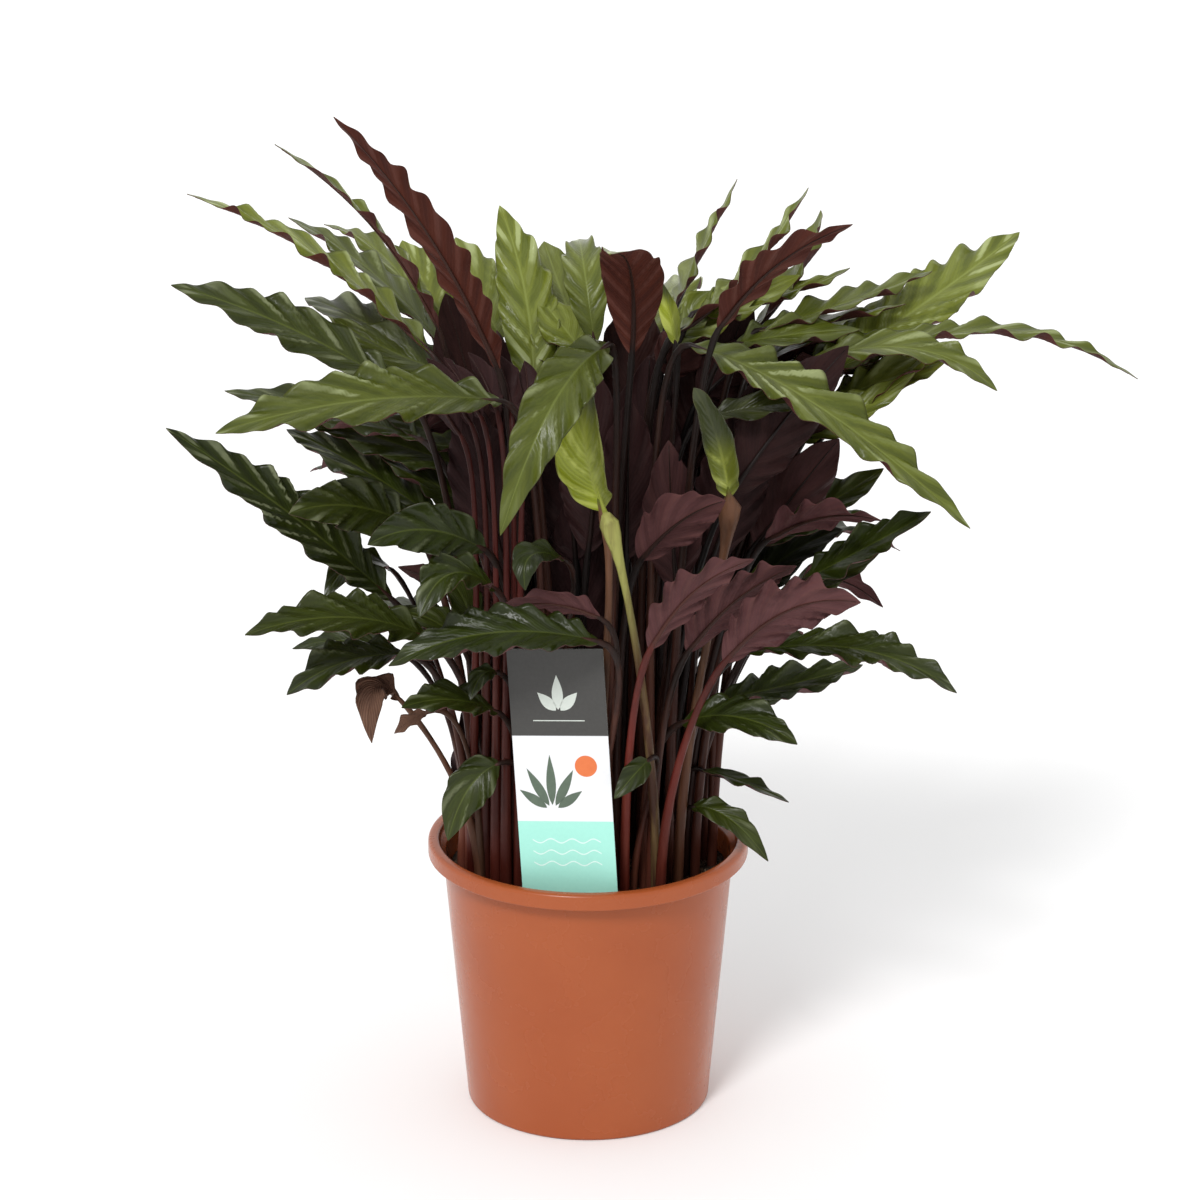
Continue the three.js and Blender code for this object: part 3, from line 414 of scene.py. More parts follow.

# Leaves whose green is lighter (1) or darker (0) than their height alone would make it; partly the leaf's own
# green, partly painted light and shade on leaves lit more or less than the rest
TONES = {
    "front_hanging": 0.42,
    "front_low_long": 0.0,
    "left_dark": 0.15,
    "left_dark_behind": 0.2,
    "left_high_edge": 0.35,
    "left_high_far": 0.7,
    "left_level": 0.45,
    "left_tall_twin": 0.7,
    "right_lit": 0.05,
    "right_arching": 0.62,
    "right_far": 0.6,
    "right_far_small": 0.6,
    "right_fill": 0.4,
    "right_mid": 0.0,
    "right_over": 0.5,
    "right_strip": 0.5,
    "right_tall_green": 0.7,
    "right_upper": 0.85,
    "right_upper_strip": 0.7,
    "right_wide": 0.95,
    "top_back": 0.7,
    "top_right_long": 0.75,
    "top_right_narrow": 0.75,
    "young_middle": 1.0,
    "young_right": 0.1,
    "top_face": 1.0,
    "top_round": 0.7,
}

# Leaves whose painted highlights, pale streaks on the wave crests, and painted shade in the valleys are
# stronger or weaker than their tone alone would make them
PAINTED_HIGHLIGHTS = {
    "front_low_long": 0.6,
    "left_dark": 1.2,
    "left_dark_behind": 1.1,
    "left_level": 1.15,
    "left_low_glossy": 1.3,
    "left_mid": 1.15,
    "left_mid_behind": 1.2,
    "right_arching": 1.5,
    "right_wide": 1.2,
    "top_face": 1.8,
}
DARK_LEAF_HIGHLIGHTS = 0.7  # strength of the painted highlights and shade on the darkest leaves
# A leaf's tone rises with its height: partly its own green, partly painted light on the higher leaves, which
# catch more light from above
DARK_BELOW = 380  # leaves with their middle below this height have the dark green
LIGHT_ABOVE = 485
TONE_SLIP = 0.1
INNER_SHADE = 0.3  # painted shade: brightness of the leaves deep in the clump

# Each kind of stalk: its material's name, then the colours of its foot, middle and head, of its
# streaks, and of the rib under the blade. The green stalks' darker middles and heads, and the red
# ones' darker heads, are painted shade under the leaves
STALK_COLOURS = {
    "green": ("stalk", (104, 55, 42), (66, 36, 28), (38, 24, 19), (112, 68, 50), (72, 42, 34)),
    "red": ("stalk_red", (112, 44, 32), (134, 50, 40), (98, 42, 36), (148, 74, 58), (90, 50, 42)),
    "young": (
        "stalk_young", (84, 50, 34), (84, 56, 40), (122, 84, 62), (128, 92, 66), (104, 112, 34)),
    "sheath": (
        "stalk_sheath", (60, 36, 26), (74, 48, 32), (150, 150, 82), (120, 100, 62), (128, 134, 52)),
    "brown": (
        "stalk_dried", (78, 48, 34), (82, 52, 38), (92, 64, 48), (110, 78, 58), (96, 68, 52)),
}
BLACK = (0, 0, 0)


# Materials: node trees read the pattern map (place along the waves, place across) and what each
# point holds: tone, from dark to light leaves, partly painted light, along, from base to tip, shade,
# painted shade that darkens points deep in the clump, and crest, from the valleys of a wavy blade
# to its crests, where the materials paint highlights on the crests and shade in the valleys

def linear(colour):
    """A colour of three 0 to 255 screen values, turned into the linear values that shaders take."""
    def part(value):
        share = value / 255
        return share / 12.92 if share <= 0.04045 else ((share + 0.055) / 1.055) ** 2.4
    return (*map(part, colour), 1.0)


class Nodes:
    """A material's node tree, with short calls for the nodes that the looks here are made of."""

    def __init__(self, name, **settings):
        self.material = bpy.data.materials.new(name)
        self.material.use_nodes = True
        self.tree = self.material.node_tree
        self.shader = self.tree.nodes["Principled BSDF"]
        for key, value in settings.items():
            self.shader.inputs[key.replace("_", " ")].default_value = value

    def put(self, kind, inputs, **settings):
        node = self.tree.nodes.new(kind)
        for key, value in settings.items():
            setattr(node, key, value)
        for key, value in inputs.items():
            if isinstance(value, bpy.types.NodeSocket):
                self.tree.links.new(value, node.inputs[key])
            else:
                node.inputs[key].default_value = value
        return node

    def calc(self, operation, first, second=0.0):
        return self.put("ShaderNodeMath", {0: first, 1: second}, operation=operation).outputs[0]

    def add(self, first, second):
        return self.calc("ADD", first, second)

    def times(self, first, second):
        return self.calc("MULTIPLY", first, second)

    def ramp(self, value, low, high, start=0.0, end=1.0):
        inputs = {0: value, 1: low, 2: high, 3: start, 4: end}
        node = self.put("ShaderNodeMapRange", inputs, interpolation_type="SMOOTHSTEP")
        return node.outputs[0]

    def mix(self, share, *colours):
        """A mix of two colours; each is a socket, three screen values or four linear ones."""
        first, second = (
            linear(c) if isinstance(c, tuple) and len(c) == 3 else c for c in colours
        )
        inputs = {0: share, 6: first, 7: second}
        return self.put("ShaderNodeMix", inputs, data_type="RGBA").outputs[2]

    def layers(self, colour, *rows):
        """Lays other colours over a first one.

        Each row holds the value that a colour's share follows, the two values between which the
        share changes, the share at each of them, and the colour.
        """
        for value, low, high, start, end, over in rows:
            colour = self.mix(self.ramp(value, low, high, start, end), colour, over)
        return colour

    def value(self, name):
        return self.put("ShaderNodeAttribute", {}, attribute_name=name).outputs["Fac"]

    def pattern(self):
        place = self.put("ShaderNodeUVMap", {}, uv_map="pattern").outputs[0]
        split = self.put("ShaderNodeSeparateXYZ", {0: place})
        return split.outputs[0], split.outputs[1]

    def place_on_leaf(self):
        """The place along the waves, the place across, and how far that is from the midrib."""
        waves, across = self.pattern()
        return waves, across, self.calc("ABSOLUTE", across)

    # Painted shade: a colour darkened by the point's shade value
    def shaded(self, colour):
        return self.mix(self.value("shade"), BLACK, colour)

    def noise(self, scale, detail=3.0, stretch=(1, 1, 1)):
        place = self.put("ShaderNodeTexCoord", {}).outputs["Object"]
        mapped = self.put("ShaderNodeMapping", {0: place, 3: stretch}).outputs[0]
        inputs = {"Vector": mapped, "Scale": scale, "Detail": detail}
        return self.put("ShaderNodeTexNoise", inputs).outputs[0]

    def bump(self, height, strength, distance):
        node = self.put("ShaderNodeBump", {"Height": height, "Strength": strength, "Distance": distance})
        self.tree.links.new(node.outputs[0], self.shader.inputs["Normal"])

    def patches(self, scale, low, high):
        """A value that lies between two, in soft patches."""
        return self.ramp(self.noise(scale), 0.3, 0.7, low, high)

    def end(self, colour, roughness):
        self.tree.links.new(colour, self.shader.inputs["Base Color"])
        self.tree.links.new(roughness, self.shader.inputs["Roughness"])
        return self.material


def vein_waves(nodes, along_waves, per_wave, wobble):
    """A smooth wave from 0 to 1 whose crests run along the side veins."""
    turn = nodes.times(nodes.add(along_waves, wobble), 2 * math.pi * per_wave)
    return nodes.ramp(nodes.calc("COSINE", turn), -1.0, 1.0)


def leaf_top_material():
    nodes = Nodes("leaf_top", Specular_IOR_Level=0.28)
    waves, across, side = nodes.place_on_leaf()
    tone = nodes.value("tone")
    crest = nodes.value("crest")
    broad = nodes.noise(38)
    wobble = nodes.times(nodes.noise(55, 3.0), 1.1)
    feather = vein_waves(nodes, waves, 1.0, wobble)
    veins = vein_waves(nodes, waves, 4.0, wobble)

    def by_tone(dark, light):
        return nodes.mix(tone, dark, light)

    dark = nodes.mix(broad, (22, 30, 3), (46, 54, 10))
    green = by_tone(dark, nodes.mix(broad, (86, 95, 22), (120, 127, 44)))
    reach = nodes.add(nodes.times(feather, 0.7), 0.05)
    finger = nodes.ramp(nodes.calc("SUBTRACT", reach, side), -0.15, 0.25)
    green = nodes.mix(nodes.times(finger, 0.28), green, by_tone((58, 70, 18), (130, 140, 60)))
    green = nodes.layers(
        green,
        (veins, 0.86, 1.0, 0.0, 0.15, by_tone((22, 32, 6), (62, 76, 20))),
        (side, 0.015, 0.06, 0.5, 0.0, by_tone((84, 94, 36), (138, 148, 76))),
    )
    # Painted highlights: pale streaks in patches along the wave crests
    patchy = nodes.ramp(nodes.noise(26), 0.42, 0.6, 0.15, 1.0)
    streak = nodes.times(nodes.times(nodes.ramp(crest, 0.68, 1.0), patchy), 0.75)
    green = nodes.mix(streak, green, by_tone((132, 138, 106), (174, 184, 126)))
    green = nodes.layers(
        green,
        # painted shade in the valleys of the waves
        (crest, 0.5, 0.0, 0.0, 0.4, by_tone((16, 24, 4), (56, 68, 12))),
        (side, 0.97, 0.995, 0.0, 0.35, (44, 30, 20)),
        # painted shade: darker towards the base, deep in the clump
        (nodes.value("along"), 0.0, 0.5, 0.5, 0.0, dark),
    )
    nodes.bump(nodes.add(veins, nodes.noise(900, 2.0)), 0.16, 0.0004)
    return nodes.end(nodes.shaded(green), nodes.patches(60, 0.28, 0.4))


def leaf_under_material():
    nodes = Nodes("leaf_under", Sheen_Weight=0.06, Sheen_Roughness=0.4, Specular_IOR_Level=0.12)
    nodes.shader.inputs["Sheen Tint"].default_value = linear((205, 150, 150))
    waves, across, side = nodes.place_on_leaf()
    crest = nodes.value("crest")
    wobble = nodes.times(nodes.noise(110, 2.0), 0.25)
    veins = vein_waves(nodes, waves, 4.0, wobble)
    feather = vein_waves(nodes, waves, 1.0, wobble)
    broad = nodes.noise(45)
    purple = nodes.mix(broad, (70, 42, 44), (96, 62, 62))
    russet = nodes.mix(broad, (60, 25, 17), (80, 38, 26))
    red = nodes.layers(
        nodes.mix(nodes.value("tone"), purple, russet),
        (feather, 0.3, 1.0, 0.0, 0.2, (44, 22, 20)),
        (veins, 0.8, 1.0, 0.0, 0.12, (96, 56, 46)),
        (side, 0.03, 0.09, 0.3, 0.0, (98, 58, 46)),
        # painted shade in the underside's valleys and painted highlights on its crests
        (crest, 0.6, 1.0, 0.0, 0.25, (38, 20, 20)),
        (crest, 0.4, 0.0, 0.0, 0.25, (112, 74, 66)),
    )
    nodes.bump(nodes.add(veins, nodes.noise(1100, 2.0)), 0.2, 0.0004)
    return nodes.end(nodes.shaded(red), nodes.patches(200, 0.52, 0.68))


def young_material():
    nodes = Nodes("young_leaf", Sheen_Weight=0.1, Specular_IOR_Level=0.45)
    waves, across, side = nodes.place_on_leaf()
    tone = nodes.value("tone")
    painted_shade_place = nodes.add(nodes.value("along"), nodes.ramp(tone, 0.0, 1.0, 0.3, 0.0))
    veins = vein_waves(nodes, waves, 3.0, nodes.times(nodes.noise(110, 2.0), 0.25))
    green = nodes.layers(
        nodes.mix(nodes.noise(42), (124, 134, 14), (156, 166, 36)),
        (tone, 0.0, 1.0, 0.7, 0.0, (78, 84, 14)),
        (veins, 0.7, 1.0, 0.0, 0.25, (100, 112, 20)),
        # painted highlights in patches on the crests
        (nodes.add(nodes.value("crest"), nodes.noise(40)), 0.9, 1.5, 0.0, 0.6, (200, 208, 104)),
        (side, 0.03, 0.09, 0.4, 0.0, (160, 166, 70)),
        # painted shade on the right half
        (across, -0.1, 0.4, 0.0, 0.75, (88, 94, 16)),
        # painted shade towards the tip, starting nearer the base on darker leaves
        (painted_shade_place, 0.55, 0.85, 0.0, 0.9, (34, 42, 8)),
        (side, 0.95, 0.995, 0.0, 0.5, (96, 84, 38)),
    )
    nodes.bump(nodes.add(veins, nodes.noise(800, 2.0)), 0.3, 0.0004)
    return nodes.end(green, nodes.patches(90, 0.3, 0.45))


def dried_material():
    nodes = Nodes("dried_leaf", Specular_IOR_Level=0.25)
    waves, across, side = nodes.place_on_leaf()
    veins = vein_waves(nodes, waves, 4.0, nodes.times(nodes.noise(110, 2.0), 0.3))
    brown = nodes.layers(
        nodes.mix(nodes.noise(90, 5.0), (72, 44, 34), (126, 94, 74)),
        (veins, 0.7, 1.0, 0.0, 0.5, (64, 40, 32)),
        (side, 0.85, 1.0, 0.0, 0.6, (84, 56, 38)),
    )
    nodes.bump(nodes.add(veins, nodes.noise(500, 4.0)), 0.7, 0.0006)
    return nodes.end(brown, nodes.patches(150, 0.6, 0.85))


def stalk_material(name, foot, middle, head, streak, rib):
    """A stalk's colours from its foot to its head, and of the rib that it becomes under the blade; a head
    darker than the foot is painted shade under the leaves.
    """
    nodes = Nodes(name, Specular_IOR_Level=0.2)
    along = nodes.value("along")
    lines = nodes.noise(260, 3.0, (1, 1, 0.05))
    colour = nodes.layers(
        nodes.mix(nodes.ramp(along, 0.1, 0.5), foot, middle),
        (along, 0.45, 0.8, 0.0, 1.0, head),
        (lines, 0.42, 0.7, 0.0, 0.5, nodes.mix(nodes.ramp(along, 0.3, 0.9), streak, middle)),
        (along, 1.0, 1.08, 0.0, 1.0, rib),
    )
    nodes.bump(nodes.add(lines, nodes.noise(1400, 2.0)), 0.4, 0.0003)
    return nodes.end(nodes.shaded(colour), nodes.patches(180, 0.36, 0.52))


def pot_material():
    nodes = Nodes("pot_plastic", Specular_IOR_Level=0.35)
    cloud = nodes.noise(14, 4.0)
    colour = nodes.mix(nodes.ramp(cloud, 0.3, 0.7), (157, 77, 38), (162, 82, 42))
    colour = nodes.layers(colour, (nodes.noise(700, 2.0), 0.62, 0.8, 0.0, 0.1, (176, 116, 86)))
    nodes.bump(nodes.noise(1600, 3.0), 0.05, 0.0002)
    return nodes.end(colour, nodes.ramp(nodes.noise(40, 4.0), 0.3, 0.75, 0.24, 0.3))


def soil_material(name, dark, light, scale):
    nodes = Nodes(name, Specular_IOR_Level=0.2)
    colour = nodes.mix(nodes.ramp(nodes.noise(scale, 5.0), 0.3, 0.7), dark, light)
    nodes.bump(nodes.noise(scale * 3, 4.0), 0.8, 0.0008)
    return nodes.end(colour, nodes.patches(scale, 0.8, 0.95))


def card_material():
    """The tag's card: three plain printed fields in front, and a pale back."""
    nodes = Nodes("tag_card", Specular_IOR_Level=0.35)
    height, face = nodes.pattern()
    grain = nodes.noise(500, 3.0)
    mint = nodes.mix(grain, (162, 228, 212), (170, 234, 218))
    panel = nodes.mix(grain, (228, 229, 232), (238, 239, 241))
    charcoal = nodes.mix(grain, (62, 61, 59), (71, 70, 68))
    back = nodes.mix(grain, (216, 222, 214), (226, 231, 224))
    line = 0.25
    front = nodes.layers(
        mint,
        (height, MINT_TOP - line, MINT_TOP + line, 0.0, 1.0, panel),
        (height, PANEL_TOP - line, PANEL_TOP + line, 0.0, 1.0, charcoal),
    )
    nodes.bump(nodes.noise(300, 4.0), 0.15, 0.0002)
    colour = nodes.layers(back, (face, 0.45, 0.55, 0.0, 1.0, front))
    return nodes.end(colour, nodes.patches(80, 0.32, 0.42))


def ink_material(name, first, second):
    nodes = Nodes(name, Specular_IOR_Level=0.5)
    colour = nodes.mix(nodes.noise(260), first, second)
    return nodes.end(colour, nodes.patches(80, 0.32, 0.42))


def floor_material():
    nodes = Nodes("studio_floor", Specular_IOR_Level=0.1)
    colour = nodes.mix(nodes.noise(3), (0.93, 0.93, 0.93, 1), (0.94, 0.94, 0.94, 1))
    return nodes.end(colour, nodes.patches(3, 0.75, 0.8))


# Meshes

VALUES = 6  # for each point: two for the pattern map, then along, tone, shade and crest
TOP, UNDER, STALK = 0, 1, 2  # places of a leaf's three materials


class Body:
    """Points and faces of one piece, with the values that its materials read at each point."""

    def __init__(self):
        self.points = []
        self.values = []
        self.faces = []
        self.slots = []
        self.count = 0

    def add_points(self, points, values):
        start = self.count
        self.points.append(points)
        self.values.append(np.zeros((len(points), VALUES)) if values is None else values)
        self.count += len(points)
        return start

    def tube(self, rings, slots=0, values=None, rising=None):
        """A closed skin over rings[row][side]; slots holds each side's material, or all sides'.

        Where rising is given, faces are split into triangles, along the diagonal that rises to
        the next side where it is true and along the other one elsewhere.
        """
        rows, sides = rings.shape[:2]
        slots = np.broadcast_to(slots, sides)
        if values is not None:
            values = values.reshape(-1, VALUES)
        start = self.add_points(rings.reshape(-1, 3), values)
        index = start + np.arange(rows * sides).reshape(rows, sides)
        beside = np.roll(index, -1, axis=1)
        a, b, c, d = index[:-1], beside[:-1], beside[1:], index[1:]
        if rising is None:
            faces = np.stack([a, b, c, d], axis=-1).reshape(-1, 4)
        else:
            first = np.where(rising, [a, b, c], [a, b, d])
            second = np.where(rising, [a, c, d], [b, c, d])
            faces = np.stack([first, second]).transpose(0, 2, 3, 1).reshape(-1, 3)
        self.faces += faces.tolist()
        self.slots += np.tile(slots, len(faces) // sides).tolist()
        self.faces += [index[0, ::-1].tolist(), index[-1].tolist()]
        self.slots += [int(slots[0])] * 2

    def prism(self, low, high, slot=0, values=None):
        """A closed body between two like outlines, listed left about as seen from the high one."""
        count = len(low)
        start = self.add_points(np.concatenate([low, high]), values)
        below = [start + i for i in range(count)]
        above = [start + count + i for i in range(count)]
        for i in range(count):
            j = (i + 1) % count
            self.faces.append([below[i], below[j], above[j], above[i]])
        self.faces += [below[::-1], above]
        self.slots += [slot] * (count + 2)

    def piece(self, name, materials, smooth=True):
        points = np.concatenate(self.points)
        values = np.concatenate(self.values)
        mesh = bpy.data.meshes.new(name)
        mesh.from_pydata((points * MM).tolist(), [], self.faces)
        for material in materials:
            mesh.materials.append(material)
        mesh.polygons.foreach_set("material_index", self.slots)
        corner_points = np.empty(len(mesh.loops), int)
        mesh.loops.foreach_get("vertex_index", corner_points)
        pattern = mesh.uv_layers.new(name="pattern")
        pattern.uv.foreach_set("vector", values[corner_points, :2].astype(np.float32).ravel())
        for column, key in enumerate(("along", "tone", "shade", "crest"), start=2):
            attribute = mesh.attributes.new(key, "FLOAT", "POINT")
            attribute.data.foreach_set("value", values[:, column].astype(np.float32))
        if smooth:
            mesh.shade_smooth()
        mesh.update()
        return linked(name, mesh)


def linked(name, data):
    made = bpy.data.objects.new(name, data)
    bpy.context.scene.collection.objects.link(made)
    return made


def settle(made, node):
    """Puts a piece on the part's one body, in place of its CAD node."""
    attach(made, "root")
    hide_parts(node)


# Curves and frames along a leaf; arrays hold one row for each place along it

def blend(ends, share):
    return ends[0] + (ends[1] - ends[0]) * share


def unit(vectors):
    return vectors / np.linalg.norm(vectors, axis=-1, keepdims=True)


def across_to(directions, along):
    return unit(directions - np.sum(directions * along, axis=-1, keepdims=True) * along)


def quadratic(a, b, c, t):
    t = t[:, None]
    s = 1 - t
    return s * s * a + 2 * s * t * b + t * t * c, unit(s * (b - a) + t * (c - b))


def cubic(a, b, c, d, t):
    t = t[:, None]
    s = 1 - t
    point = s ** 3 * a + 3 * s * s * t * b + 3 * s * t * t * c + t ** 3 * d
    return point, unit(s * s * (b - a) + 2 * s * t * (c - b) + t * t * (d - c))


def outline(u):
    return np.sin(np.pi * np.clip(u, 0, 1) ** OUTLINE_SKEW) ** OUTLINE_SWELL


def smooth_step(value, start=0.0, end=1.0):
    share = np.clip((value - start) / (end - start), 0, 1)
    return share * share * (3 - 2 * share)


def ring(radius, height, angle):
    level = np.full(len(angle), height)
    return np.stack([radius * np.cos(angle), radius * np.sin(angle), level], axis=-1)


def full_turn(count):
    return 2 * np.pi * np.arange(count) / count


def spread(shape, *values):
    """The values of a body's points, each one worked out for all of its rings."""
    return np.stack([np.broadcast_to(value, shape) for value in values], axis=-1)


class Leaf:
    """One leaf of the table, with the bend that its CAD solid was given."""

    def __init__(self, name, base, middle, tip, width, face, host="", kind="green"):
        self.name = name
        self.base, self.middle, self.tip, self.face = (
            np.array(place, float) for place in (base, middle, tip, face)
        )
        self.width = width
        self.host = host
        self.kind = kind
        self.make = SMALL if width < SMALL_WIDTH else LARGE
        self.fold = YOUNG_FOLD if kind == "young" else FOLD
        self.row_step = HIDDEN_STEP if "inner" in name or "back_" in name else ROW_STEP
        self.length = np.linalg.norm(self.middle - self.base) + np.linalg.norm(self.tip - self.middle)
        self.count = min(max(math.floor(self.length / HALF_WAVE + 0.5), FEWEST_SECTIONS), MOST_SECTIONS)
        self.bend = (0, 0, 0)

    def paint(self, tone, shade):
        self.tone = tone
        self.shade = shade
        self.streaks = PAINTED_HIGHLIGHTS.get(self.name, DARK_LEAF_HIGHLIGHTS + (1 - DARK_LEAF_HIGHLIGHTS) * tone)

    def ends(self, bend):
        base_lean, tip_lean, sidestep = bend
        aside = np.array([sidestep, 0, 0], float)
        base = self.base + LEAN_WAY * base_lean + aside
        tip = self.tip + LEAN_WAY * tip_lean + aside
        middle = self.middle + LEAN_WAY * (base_lean + tip_lean) / 2 + aside
        return base, 2 * middle - base / 2 - tip / 2, tip

    def frame(self, u, bend):
        base, pull, tip = self.ends(bend)
        centre, along = quadratic(base, pull, tip, u)
        face = across_to(self.face[None, :], along)
        return centre, along, face, np.cross(along, face)

    def margins(self, bend):
        """The upper corners of the CAD blade's margins, at each of its sections but the end ones."""
        steps = np.arange(1, self.count)
        u = steps / self.count
        centre, along, face, side = self.frame(u, bend)
        swell = outline(u)
        half = np.maximum(self.width / 2 * swell, LEAST_HALF_WIDTH)[:, None]
        wave = (np.where(steps % 2, 1, -1) * WAVE_SHARE * self.width * np.sqrt(swell))[:, None]
        up = half * math.sin(self.fold) + wave + BLADE_THICKNESS / 2
        out = half * math.cos(self.fold)
        return np.concatenate([centre - side * out + face * up, centre + side * out + face * up])

    def find_bend(self, tree):
        """Tries every bend that the part's source can give, and keeps the one its solid shows."""
        def miss(point):
            return tree.find(point)[2]
        best = None
        for base_lean in LEANS:
            for sidestep in SIDESTEPS:
                base = self.ends((base_lean, 0, sidestep))[0]
                if miss(base) > self.make["neck"] + NEAR_NECK:
                    continue
                for tip_lean in LEANS:
                    bend = (base_lean, tip_lean, sidestep)
                    if miss(self.ends(bend)[2]) > NEAR_TIP:
                        continue
                    error = sum(miss(point) for point in self.margins(bend))
                    if best is None or error < best[0]:
                        best = (error, bend)
        if best is None or best[0] > NEAR_MARGIN * self.count:
            raise ValueError(f"the solid of {self.name} isn't where the table says")
        self.bend = best[1]


def blade(body, leaf, draw):
    """The blade as a closed skin: waves that run out along the side veins, and a grooved midrib."""
    rows = max(FEWEST_ROWS, round(leaf.length / leaf.row_step))
    share = np.linspace(0, 1, rows)
    u = share - END_CROWDING * np.sin(2 * np.pi * share)
    centre, along, face, side = leaf.frame(u, leaf.bend)
    half = np.maximum(leaf.width / 2 * outline(u), TIP_HALF_WIDTH)[:, None]
    opened = (smooth_step(u * leaf.count) * smooth_step((1 - u) * leaf.count))[:, None]
    across = np.array([-c for c in COLUMNS[:0:-1]] + COLUMNS)[None, :]
    out = np.abs(across)
    left = across < 0

    place = u[:, None] + (1 - out) * half * VEIN_SLOPE / leaf.length
    waves = place * leaf.count
    wave_share = WAVE_SHARES.get(leaf.name, 1.0)
    height = WAVE_SHARE * leaf.width * np.sqrt(outline(u))[:, None] * opened * wave_share
    swing = 1 + SWING * np.sin(2 * np.pi * (SWING_TURNS * place + draw[0])) * np.where(left, 1, -1)
    large = -np.cos(np.pi * waves) * out ** WAVE_REACH * swing * LARGE_WAVE
    growth = smooth_step(leaf.middle[2], *SCALLOP_GROWTH)
    steps = place * leaf.length / blend(SCALLOP_STEP, growth)
    turn = 2 * np.pi * (steps + np.where(left, draw[1], draw[2]))
    turn = turn + SCALLOP_SLIP * np.sin(2 * np.pi * (SLIP_TURNS * place + draw[3]))
    calm = smooth_step((1 - u) / TIP_CALM)[:, None] * wave_share
    small = np.cos(turn) * out ** SCALLOP_REACH * blend(SCALLOP_HEIGHT, growth) * calm / WAVE_SHARE
    if leaf.kind == "young":
        roll = np.where(left, *YOUNG_ROLL[leaf.name]) * out * opened + LEAST_ROLL
        lift = half * out * (1 - np.cos(roll)) / roll
        reach = half * across * np.sin(roll) / roll
    else:
        lift = half * out ** FOLD_CURVE * np.sin(FOLD * opened)
        reach = half * across * np.cos(FOLD * opened)
    lift = lift + height * KIND_WAVES[leaf.kind] * (large + small)
    bulge = np.abs(np.cos(turn / 2)) - 2 / np.pi
    reach = reach * (1 + SCALLOP_BULGE * bulge * out ** BULGE_REACH * opened * calm)
    # crest: where the materials paint highlights on the crests and shade in the valleys
    crest = 0.5 + 0.5 * np.cos(turn) * smooth_step(out / CREST_REACH) * leaf.streaks

    thick = np.minimum(blend(THICKNESS, out), THICKEST * half)
    groove = GROOVE * (out < GROOVE_REACH) * opened
    middle = centre[:, None, :] + side[:, None, :] * reach[..., None]
    top = middle + face[:, None, :] * (lift + thick / 2 - groove)[..., None]
    under = middle + face[:, None, :] * (lift - thick / 2)[..., None]
    rings = np.concatenate([top, under[:, ::-1]], axis=1)

    values = spread(place.shape, waves, across, u[:, None], leaf.tone, leaf.shade, crest)
    values = np.concatenate([values, values[:, ::-1]], axis=1)
    strips = across.shape[1] - 1
    slots = [TOP] * strips + [UNDER] * (strips + 2)
    on_left = np.arange(strips) < strips // 2
    rising = np.concatenate([~on_left, [True], on_left[::-1], [True]])
    body.tube(rings, slots, values, rising)
    return centre, along, face


def carried(face, along):
    """Faces square to the curve, each turned as little as can be from the one after it."""
    faces = np.empty_like(along)
    for row in range(len(along) - 1, -1, -1):
        face = across_to(face, along[row])
        faces[row] = face
    return faces


